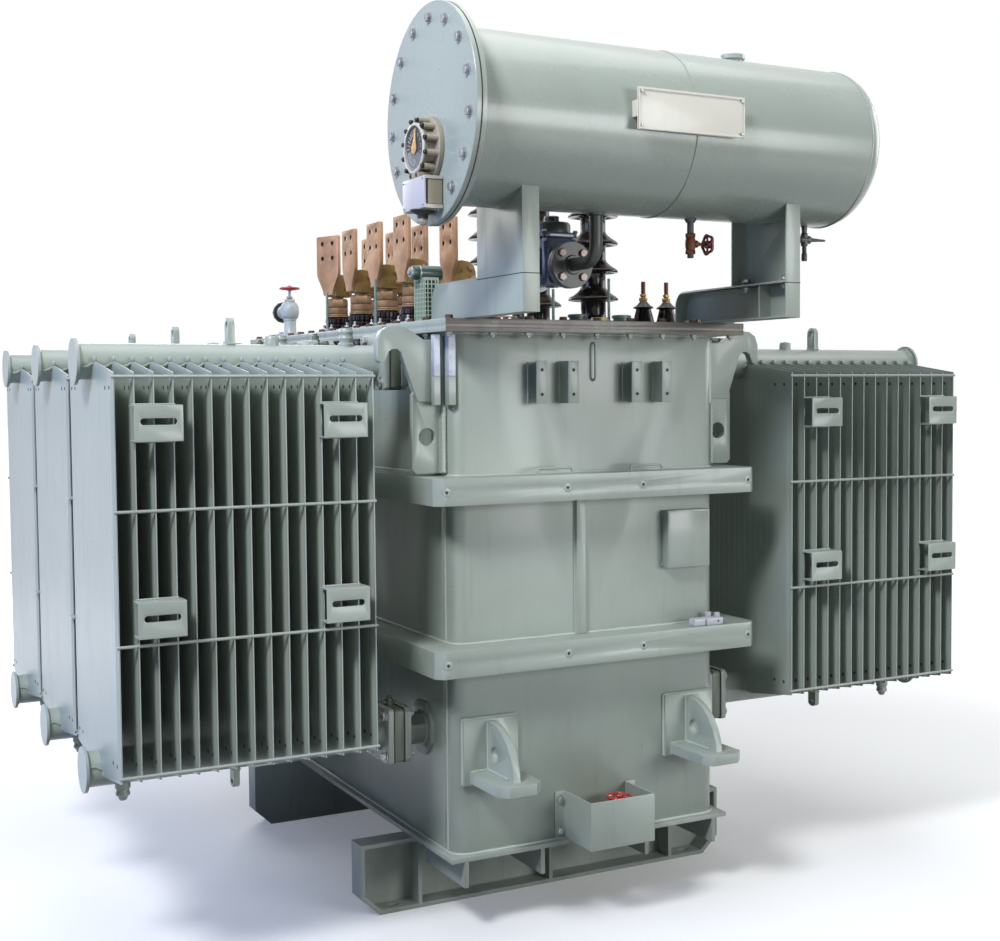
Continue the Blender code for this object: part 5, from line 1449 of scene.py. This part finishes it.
class TRANSFORMER_OT_valves(Operator):
    """Drain, filling and conservator valves; each handwheel rides on its own turning body."""

    bl_idname = "transformer.valves"
    bl_label = "Valves and handwheels"

    def execute(self, context):
        brass = metal("machined_brass", tuple(finish().brass), 0.34, 0.6)
        rust = metal("weathered_bronze", (0.115, 0.04, 0.02), 0.5, 0.7, metallic=0.6,
                     second=(0.06, 0.03, 0.02))
        grey = metal("pipe_grey", (0.07, 0.076, 0.076), 0.5, 0.5, metallic=0.6)
        red = enamel("wheel_enamel", tuple(finish().red), 0.26, 0.3, 0.2)
        dark = primer()
        self.drain(brass, red)
        self.conservator(grey, rust, enamel("wheel_crimson", (0.21, 0.008, 0.028), 0.24, 0.3, 0.2), dark)
        self.filling(red, dark)
        return {"FINISHED"}

    @staticmethod
    def drain(brass, red):
        """Angle valve on the front wall inside its guard."""
        x, z = 0.04, BEAM_TOP + 0.062
        y = -TANK_FRONT - 0.0784
        body = lathe([(0.02, -0.034), (0.022, -0.032), (0.022, -0.028), (0.026, -0.024), (0.0265, -0.01),
                      (0.0265, 0.014), (0.024, 0.021), (0.018, 0.025), (0.018, 0.027)], (x, y, z), "z", 40)
        bonnet = hex_nut(0.031, 0.026, 0.0345, (x, y, z)) + hex_nut(0.0175, 0.0345, 0.048, (x, y, z), turn=15)
        stem = rod((x, y, z + 0.046), 0.032, 0.005, "z", 20)
        nipple = rod((x, y, z), 0.078, 0.017, "y", 32) + hex_nut(0.04, 0.03, 0.044, (x, y, z), "y")
        lug = lathe([(0.022, 0.07), (0.024, 0.072), (0.024, 0.0778)], (x, y, z), "y", 32)
        finished("drain_valve", [(body + bonnet + stem + nipple + lug, brass)], slot="brass", weld=False)
        finished("drain_handwheel", handwheel((x, y, z + 0.066), "z", 0.032, 0.005), red,
                 body="drain_wheel", slot="red_paint", weld=False)

    @staticmethod
    def conservator(grey, rust, red, dark):
        """Small drain valve and cock below the conservator."""
        x, y, z = 0.147, SHELL_Y, 1.816975
        top = 1.881375
        pipe = lathe([(0.0088, 0.024), (0.0088, top - z - 0.001), (0.008, top - z)], (x, y, z), "z", 24)
        sleeve = lathe([(0.0112, top - z - 0.01), (0.015, top - z - 0.004), (0.0165, top - z)], (x, y, z),
                       "z", 28)
        body = (hex_nut(0.0225, -0.027, -0.016, (x, y, z)) + hex_nut(0.0225, 0.016, 0.027, (x, y, z))
                + lathe([(0.011, -0.017), (0.0133, -0.01), (0.0137, 0), (0.0133, 0.01), (0.011, 0.017)],
                        (x, y, z), "z", 28))
        nipple = lathe([(0.0085, -0.026), (0.0085, -0.029), (0.008, -0.0296), (0.0085, -0.0302),
                        (0.0085, -0.0325), (0.008, -0.0331), (0.0085, -0.0337), (0.0085, -0.0365),
                        (0.0078, -0.037)], (x, y, z), "z", 24)
        bonnet = (lathe([(0.0112, 0.004), (0.0098, 0.01), (0.0086, 0.012), (0.0086, 0.016)], (x, y, z), "x",
                        24) + hex_nut(0.0165, 0.0155, 0.0225, (x, y, z), "x")
                  + lathe([(0.0058, 0.022), (0.005, 0.029), (0.0035, 0.031), (0.0035, 0.069),
                           (0.003, 0.07)], (x, y, z), "x", 20))
        finished("conservator_drain_valve", [(body + bonnet, rust), (pipe + nipple + sleeve, grey)],
                 slot="brass", weld=False)
        finished("conservator_handwheel", handwheel((x + 0.054, y, z), "x", 0.0233, 0.0035, 5, 0.075), red,
                 body="conservator_wheel", slot="red_paint", weld=False)
        x, low = 0.52, 1.881775
        neck = lathe([(0.0098, -0.0006), (0.008, -0.006), (0.0075, -0.02), (0.01, -0.023), (0.01, -0.053),
                      (0.0065, -0.057), (0.0065, -0.073), (0.008, -0.0765), (0.008, -0.0935),
                      (0.0068, -0.096)], (x, y, low), "z", 24)
        lever = (hex_nut(0.019, 0.008, 0.02, (x, y, low - 0.038), "x")
                 + lathe([(0.007, 0.019), (0.006, 0.024), (0.0042, 0.045), (0.003, 0.07), (0.0022, 0.072)],
                         (x, y, low - 0.038), "x", 20)
                 + lathe([(0.0095, -0.014), (0.0105, -0.011), (0.0105, 0.009)], (x, y, low - 0.038), "x", 24))
        finished("conservator_cock", neck + lever, dark, slot="dark_metal",
              weld=False)

    @staticmethod
    def filling(red, dark):
        """Filling valve on the cover with a capped side outlet."""
        x, y, low = -0.4, 0.58, COVER_TOP + 0.0004
        body = lathe([(0.045, 0.0), (0.046, 0.001), (0.046, 0.011), (0.0445, 0.012), (0.024, 0.0125),
                      (0.0208, 0.017), (0.0205, 0.057), (0.0225, 0.0585), (0.0225, 0.0635), (0.0265, 0.066),
                      (0.03, 0.074), (0.031, 0.089), (0.03, 0.104), (0.0255, 0.114), (0.019, 0.118),
                      (0.019, 0.122), (0.015, 0.1225)], (x, y, low), "z", 48)
        outlet = lathe([(0.025, 0.01), (0.0235, 0.03), (0.0215, 0.036), (0.0215, 0.056), (0.024, 0.0575),
                        (0.024, 0.066)], (x, y, low + 0.088), "y", 40)
        cap = lathe([(0.0345, 0.066), (0.036, 0.0675), (0.036, 0.0775), (0.034, 0.0795), (0.012, 0.08)],
                    (x, y, low + 0.088), "y", 12)
        gland = hex_nut(0.03, 0.1222, 0.13, (x, y, low)) + hex_nut(0.018, 0.13, 0.139, (x, y, low), turn=20)
        stem = rod((x, y, low + 0.138), 0.038, 0.005, "z", 20)
        clamps = bolt(0.008).copies(ring_of(4, 0.0345, (x, y, low + 0.012), "z", 45))
        pale = enamel("valve_grey", (0.4, 0.43, 0.44), 0.3, 0.5, 0.4)
        finished("cover_valve", [(body + outlet, pale), (cap, dark), (gland + stem + clamps, zinc())],
                 weld=False)
        finished("cover_handwheel", handwheel((x, y, low + 0.166), "z", 0.031, 0.005), red,
                 body="cover_wheel", slot="red_paint", weld=False)


class TRANSFORMER_OT_cover_fittings(Operator):
    """Cover bolts, rods, plugs and the vented box with its relief drum."""

    bl_idname = "transformer.cover_fittings"
    bl_label = "Cover fittings"

    def execute(self, context):
        low = COVER_TOP
        across = [(x, s * 0.8, low) for x in (-0.439, -0.315, -0.21, -0.105, 0, 0.105, 0.21, 0.315, 0.439)
                  for s in (-1, 1)]
        sides = np.linspace(-0.655, 0.655, 14)
        along = [(s * 0.439, y, low) for y in sides for s in (-1, 1) if not (s < 0 and abs(y - 0.58) < 0.06)]
        run = low - RIM_LOW
        size = sizes().bolt
        piece("cover_bolts", [(bolt(size).copies(across + along),
                               metal("brown_bolts", (0.115, 0.075, 0.06), 0.5, 0.6)),
                              (nut_end(size, "z", run).copies(across + along), zinc())], weld=False)
        rods = [stub_stud(*p) for p in (((-0.44, -0.302, low), 0.135), ((-0.44, 0.1, low), 0.122),
                                        ((0.097, -0.7, low), 0.125), ((-0.047, -0.64, low), 0.096))]
        piece("cover_rods", joined(rods), metal("green_rod", (0.2, 0.25, 0.22), 0.45, 0.4, metallic=0.7),
              weld=False)
        tiers = [(0.026, 0.0), (0.026, 0.006), (0.023, 0.0075), (0.023, 0.012), (0.027, 0.013),
                 (0.027, 0.019), (0.024, 0.021), (0.018, 0.0215)]
        green = enamel("cap_green", (0.11, 0.18, 0.13), 0.35, 0.4, 0.3)
        moss = enamel("cap_moss", (0.05, 0.068, 0.052), 0.35, 0.4, 0.3)
        yellow = enamel("ring_yellow", (0.6, 0.52, 0.22), 0.4, 0.4, 0.4)
        ring = lathe([(0.026, 0.0), (0.026, 0.01), (0.024, 0.011), (0.024, 0.015), (0.018, 0.0155)],
                     (0.059, -0.715, low), "z", 32)
        piece("cover_caps", [(lathe(tiers, (-0.028, -0.742, low), "z", 32), moss),
                             (lathe(tiers, (0.112, -0.742, low), "z", 32), green), (ring, yellow)],
              weld=False)
        plug = [(0.022, 0.0), (0.022, 0.004), (0.016, 0.005), (0.016, 0.014), (0.013, 0.016)]
        piece("cover_plugs", lathe(plug, (-0.405, 0.71, low), "z", 24)
              + lathe(plug, (0.3, 0.56, low), "z", 24) + lathe(plug, (0.3, 0.3, low), "z", 24), paint(),
              weld=False)
        self.meter(low + 0.0004)
        return {"FINISHED"}

    @staticmethod
    def meter(low):
        """Box whose two outer sides are wire mesh, with a dark drum on top."""
        x, y = -0.405, -0.618
        mesh = enamel("mesh_green", (0.42, 0.55, 0.42), 0.4, 0.3, 0.3)
        pale = enamel("meter_enamel", (0.43, 0.46, 0.44), 0.32, 0.5, 0.4)
        dark = enamel("drum_green", (0.022, 0.055, 0.045), 0.3, 0.4, 0.3)
        # The dark core behind the mesh is painted shade of the box's inside.
        core = box((x - 0.0165, y + 0.0035, low), (x + 0.0165, y + 0.0695, low + 0.115), 0.001)
        bars = []
        for k in range(10):
            z = low + 0.006 + 0.0118 * k
            bars.append(box((x - 0.02, y, z - 0.0011), (x + 0.02, y + 0.073, z + 0.0011), 0))
        for t in np.linspace(0.0015, 0.0715, 8):
            for side in (-0.02, 0.018):
                bars.append(box((x + side, y + t - 0.0012, low),
                                (x + side + 0.002, y + t + 0.0012, low + 0.118), 0))
        for t in (-0.011, 0, 0.011):
            for side in (0.0, 0.0712):
                bars.append(box((x + t - 0.0012, y + side, low),
                                (x + t + 0.0012, y + side + 0.0018, low + 0.118), 0))
        lid = box((x - 0.02, y, low + 0.1145), (x + 0.02, y + 0.073, low + 0.118), 0.001)
        end = (x - 0.042, y + 0.036, low + 0.132)
        drum = lathe([(0.0155, 0.0), (0.019, 0.002), (0.019, 0.016), (0.0175, 0.018), (0.0175, 0.022),
                      (0.0198, 0.024), (0.0198, 0.08), (0.0185, 0.083)], end, "x", 40)
        silver = lathe([(0.011, -0.0062), (0.0145, -0.005), (0.0152, 0.001)], end, "x", 32)
        silver = silver + lathe([(0.0202, 0.0178), (0.0204, 0.019), (0.0204, 0.0215), (0.0202, 0.0225)],
                                end, "x", 40)
        nut = hex_nut(0.012, -0.011, -0.0055, end, "x")
        finished("meter_box", [(core, enamel("mesh_box_inner_shade", (0.015, 0.02, 0.018), 0.5, 0.2, 0.2)),
                               (joined(bars), mesh), (lid, pale), (drum, dark), (silver + nut, zinc())],
                 weld=False)


class TRANSFORMER_OT_wall_fittings(Operator):
    """Small fittings of the front wall, bands and supports, with their bolts."""

    bl_idname = "transformer.wall_fittings"
    bl_label = "Wall fittings"

    def execute(self, context):
        face = -TANK_FRONT
        coat, steel = paint(), zinc()
        hook = tube([(0.01, face - 0.004, 1.569), (0.01, face - 0.014, 1.56), (0.01, face - 0.014, 1.474),
                     (0.01, face - 0.006, 1.466), (0.01, face, 1.466)], 0.0032, 0.006, 10, (1, 0, 0))
        loops = [tube([(a, -0.812, 1.214), (a, -0.812, 1.232), (b, -0.812, 1.232), (b, -0.812, 1.214)],
                      0.0032, 0.008, 10, (0, 1, 0)) for a, b in ((-0.193, -0.087), (0.098, 0.198))]
        bush = slab(circle(0.012, (0, 0), 28), 0, 0.0012, "-y", edge=0.0003,
                    holes=(circle(0.0042, (0, 0), 16),))
        # A dark disc at the back of each bush's hole: painted shade in the hole.
        shade_disc = rod((0, 0, 0), 0.0008, 0.005, "-y", 16, 0)
        spots = [(x, -BAND_Y + 0.0006, (a + b) / 2) for x in (-0.47, -0.118, 0.118, 0.47) for a, b in BANDS]
        back = [(x, BAND_Y - 0.0006, z) for x, _, z in spots]
        bushes = bush.copies(spots) + bush.image("y").copies(back)
        dark = joint_rubber()
        holes = shade_disc.copies(spots) + rod((0, 0, 0), 0.0008, 0.005, "y", 16, 0).copies(back)
        piece("band_bushes", [(bushes, coat), (holes, dark)], weld=False)
        piece("wall_hooks", joined([hook, *loops]), coat, weld=False)
        top, front = BANDS[0][1], -BAND_Y
        lugs = (box((0.296, front + 0.012, top), (0.331, front + 0.042, top + 0.021), 0.003)
                + box((0.335, front + 0.008, top), (0.388, front + 0.042, top + 0.021), 0.003)
                + rod((0.372, front + 0.058, top), 0.03, 0.0085, "z", 24, 0.0015)
                + rod((0.398, front + 0.052, top), 0.028, 0.0085, "z", 24, 0.0015))
        # Dark discs on the lug faces: painted shade for their holes.
        eyes = rod((0.372, front + 0.0083, top + 0.011), 0.0006, 0.003, "-y", 14, 0)
        piece("earth_lugs", [(lugs, enamel("lug_white", (0.5, 0.51, 0.56), 0.3, 0.3, 0.2)), (eyes, dark)],
              weld=False)
        strips, upper = [], []
        for low_x, high_x, near, far in ((-0.456, -0.439, -0.742, -0.7235),
                                         (-0.423, -0.404, -0.7615, -0.7375)):
            strips.append(box((low_x, near, 1.402), (high_x, far, 1.4775), 0.0015))
            upper.append(box((low_x, near, 1.4776), (high_x, far, 1.586), 0.0015))
        piece("corner_strips", [(joined(strips), coat),
                                (joined(upper), metal("zinc_strip", (0.5, 0.53, 0.6), 0.5, 0.5,
                                                      metallic=0.45))], weld=False)
        self.guard(face, coat, steel)
        self.supports(steel)
        self.board_trim(steel)
        return {"FINISHED"}

    @staticmethod
    def guard(face, coat, steel):
        """Bolts of the valve guard, the bracket holes, and tabs of the rating plate holder."""
        t = 0.0044
        places = [(x, face - t, z) for x in (-0.104, 0.124) for z in (0.236, 0.322)]
        piece("guard_bolts", bolt(0.01, "-y").copies(places), steel, weld=False)
        tabs = [box((0.229, face - 0.0062, z - 0.006), (0.2385, face - 0.0012, z + 0.006), 0.001, "y")
                for z in (0.948, 1.089)]
        piece("rating_plate_tabs", joined(tabs), coat, weld=False)
        blank = box((0.24, face - 0.0306, 0.943), (0.369, face - 0.0302, 1.094), 0.0001, "y")
        piece("rating_plate_blank", blank, enamel("plate_face", shade(finish().paint, 1.04), 0.24, 0.3,
                                                  0.3), weld=False)
        # Dark discs on the wall brackets: painted shade for their holes.
        spots = [(x + 0.0165, face - 0.0506, z) for x in WALL_BRACKET_X for z in (1.428, 1.493)]
        hole = rod((0, 0, 0), 0.0004, 0.0045, "-y", 16, 0)
        piece("bracket_holes", hole.copies(spots), joint_rubber(), weld=False)

    @staticmethod
    def supports(steel):
        """Joint line and bolts of the conservator supports."""
        mid = COVER_TOP + SUPPORT_JOINT
        bolts = [(s * SUPPORT_X, SHELL_Y + side, mid + 0.0062) for s in (-1, 1) for side in (-0.085, 0.085)]
        seams = []
        for s in (-1, 1):
            low, high = sorted((s * 0.4103, s * 0.3637))
            seams.append(box((low, -1.1522, mid - 0.007), (high, -0.905, mid - 0.0048), 0))
        piece("support_joints", joined(seams), joint_rubber(), weld=False)
        piece("support_bolts", bolt(0.012, tail=0.012).copies(bolts), steel, weld=False)
        feet = [(s * SUPPORT_X, y, COVER_TOP + 0.0066) for s in (-1, 1) for y in (-0.66, -0.72)]
        piece("support_foot_bolts", bolt(0.01).copies(feet), steel, weld=False)

    @staticmethod
    def board_trim(steel):
        """A thin raised rim round the bare name board and its four screws."""
        wide = 0.004
        (left, right), (low, high) = BOARD_X, BOARD_Z
        inner = [(left + wide, low + wide), (right - wide, low + wide), (right - wide, high - wide),
                 (left + wide, high - wide)]
        edge = slab([(left, low), (right, low), (right, high), (left, high)], 0, 0.0008, edge=0.0002,
                    holes=(inner,))
        edge = Part(edge.points[:, (0, 2, 1)] * (1, -1, 1) + (0, BOARD_FRONT, 0), edge.faces)
        screws = [(x, BOARD_FRONT, z) for x in (-0.148, 0.141) for z in (SHELL_Z - 0.026, SHELL_Z + 0.054)]
        screw = bolt(0.005, "-y", washer=False)
        piece("name_board_trim", [(edge, cream_enamel()), (screw.copies(screws), steel)], weld=False)


class TRANSFORMER_OT_welds(Operator):
    """Fillet welds between walls, bands, pads, lugs and the base."""

    bl_idname = "transformer.welds"
    bl_label = "Weld beads"

    def execute(self, context):
        r = sizes().bead
        x, y = TANK_X, TANK_FRONT
        corner = rounded((-x, -y), (x, y), 0.04, 6)
        parts = []
        for z in [level for band in BANDS for level in band] + [RIM_LOW - 0.0005]:
            lift = 0.001 if z in (BANDS[0][1], BANDS[1][1]) else -0.001
            ring = np.column_stack([inset(corner, -0.0012), np.full(len(corner), z + lift)])
            parts.append(bead(np.vstack([ring, ring[:1]]), r))
        base = np.column_stack([inset(corner, -0.0018), np.full(len(corner), BEAM_TOP + 0.0135)])
        parts.append(bead(np.vstack([base, base[:1]]), r))
        for s in (-1, 1):
            for t in (-1, 1):
                seam, hook = (s * (x + 0.0005), t * (y - 0.047)), (s * (x + 0.009), t * (y - 0.033))
                parts.append(bead([(*seam, BEAM_TOP + 0.02), (*seam, RIM_LOW - 0.002)], 0.0036, (1, 0, 0),
                                  0.012))
                parts.append(bead([(*hook, 1.228), (*hook, 1.4)], 0.0058, (1, 0, 0), 0.014))
                a, b = s * 0.395, s * 0.235
                ring = [(a, t * (y + 0.011), 0.4), (b, t * (y + 0.011), 0.4), (b, t * (y + 0.011), 0.573),
                        (a, t * (y + 0.011), 0.573), (a, t * (y + 0.011), 0.4)]
                parts.append(bead([(px, t * (y + 0.0025), pz) for px, _, pz in ring], 0.005, (0, 1, 0)))
                g = s * 0.315
                for side in (-0.0105, 0.0105):
                    parts.append(bead([(g + side, t * (y + 0.0135), 0.566),
                                       (g + side, t * (y + 0.0135), 0.436),
                                       (g + side, t * (y + 0.13), 0.436)], 0.0042, (1, 0, 0)))
                for z in (0.435, 0.405):
                    parts.append(bead([(g - 0.062, t * (y + 0.0135), z), (g + 0.062, t * (y + 0.0135), z)],
                                      0.004))
                for row in (-ROW_PITCH, 0, ROW_PITCH) if t > 0 else ():
                    for z in HEADER_Z:
                        parts.append(bead([(s * (x + 0.0085), row + p, q) for p,
                                           q in circle(HEADER_R + 0.001, (0, z), 37, 0, 359.9)], 0.0036,
                                          (1, 0, 0)))
        front = -y - 0.001
        for px in (-0.0505, -0.0215):
            parts.append(bead([(px, front, 0.776), (px, front, 1.143)], 0.0024, (1, 0, 0)))
        for px in [left + side for left in WALL_BRACKET_X for side in (0.0, 0.033)]:
            parts.append(bead([(px, front, 1.406), (px, front, 1.515)], 0.0022, (1, 0, 0)))
        # The weld paint is the tank paint made lighter: a painted highlight on the beads.
        piece("weld_beads", joined(parts), enamel("weld_highlight_enamel", shade(finish().paint, 1.28), 0.28, 0.5, 0.2),
              crease=60.0, weld=False)
        return {"FINISHED"}


# List and run

STEPS = (TRANSFORMER_OT_stage, TRANSFORMER_OT_plates, TRANSFORMER_OT_radiators, TRANSFORMER_OT_conservator,
         TRANSFORMER_OT_gauge, TRANSFORMER_OT_relay, TRANSFORMER_OT_high_voltage,
         TRANSFORMER_OT_low_voltage, TRANSFORMER_OT_valves, TRANSFORMER_OT_cover_fittings,
         TRANSFORMER_OT_wall_fittings, TRANSFORMER_OT_welds)


class TRANSFORMER_PT_looks(Panel):
    """Sizes, colours and one button for each group of pieces."""

    bl_idname = "TRANSFORMER_PT_looks"
    bl_label = "Transformer"
    bl_space_type = "VIEW_3D"
    bl_region_type = "UI"
    bl_category = "Transformer"

    def draw(self, context):
        """Lists every size and colour, then a button for each group of pieces."""
        for group in (context.scene.transformer_finish, context.scene.transformer_sizes):
            for key in type(group).__annotations__:
                self.layout.prop(group, key)
        for step in STEPS:
            self.layout.operator(step.bl_idname)


GROUPS = (TransformerFinish, TransformerSizes)


def register():
    """Adds the classes and the two property groups to Blender."""
    for kind in (*GROUPS, *STEPS, TRANSFORMER_PT_looks):
        bpy.utils.register_class(kind)
    bpy.types.Scene.transformer_finish = PointerProperty(type=TransformerFinish)
    bpy.types.Scene.transformer_sizes = PointerProperty(type=TransformerSizes)


def unregister():
    """Takes them out again."""
    del bpy.types.Scene.transformer_finish
    del bpy.types.Scene.transformer_sizes
    for kind in reversed((*GROUPS, *STEPS, TRANSFORMER_PT_looks)):
        bpy.utils.unregister_class(kind)


def main():
    """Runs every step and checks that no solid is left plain."""
    register()
    for step in STEPS:
        group, name = step.bl_idname.split(".")
        getattr(getattr(bpy.ops, group), name)()
    plainly = [name for name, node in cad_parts.items() if not node.hide_render]
    if plainly:
        raise RuntimeError(f"no finish on {plainly}")


if __name__ == "__main__":
    main()
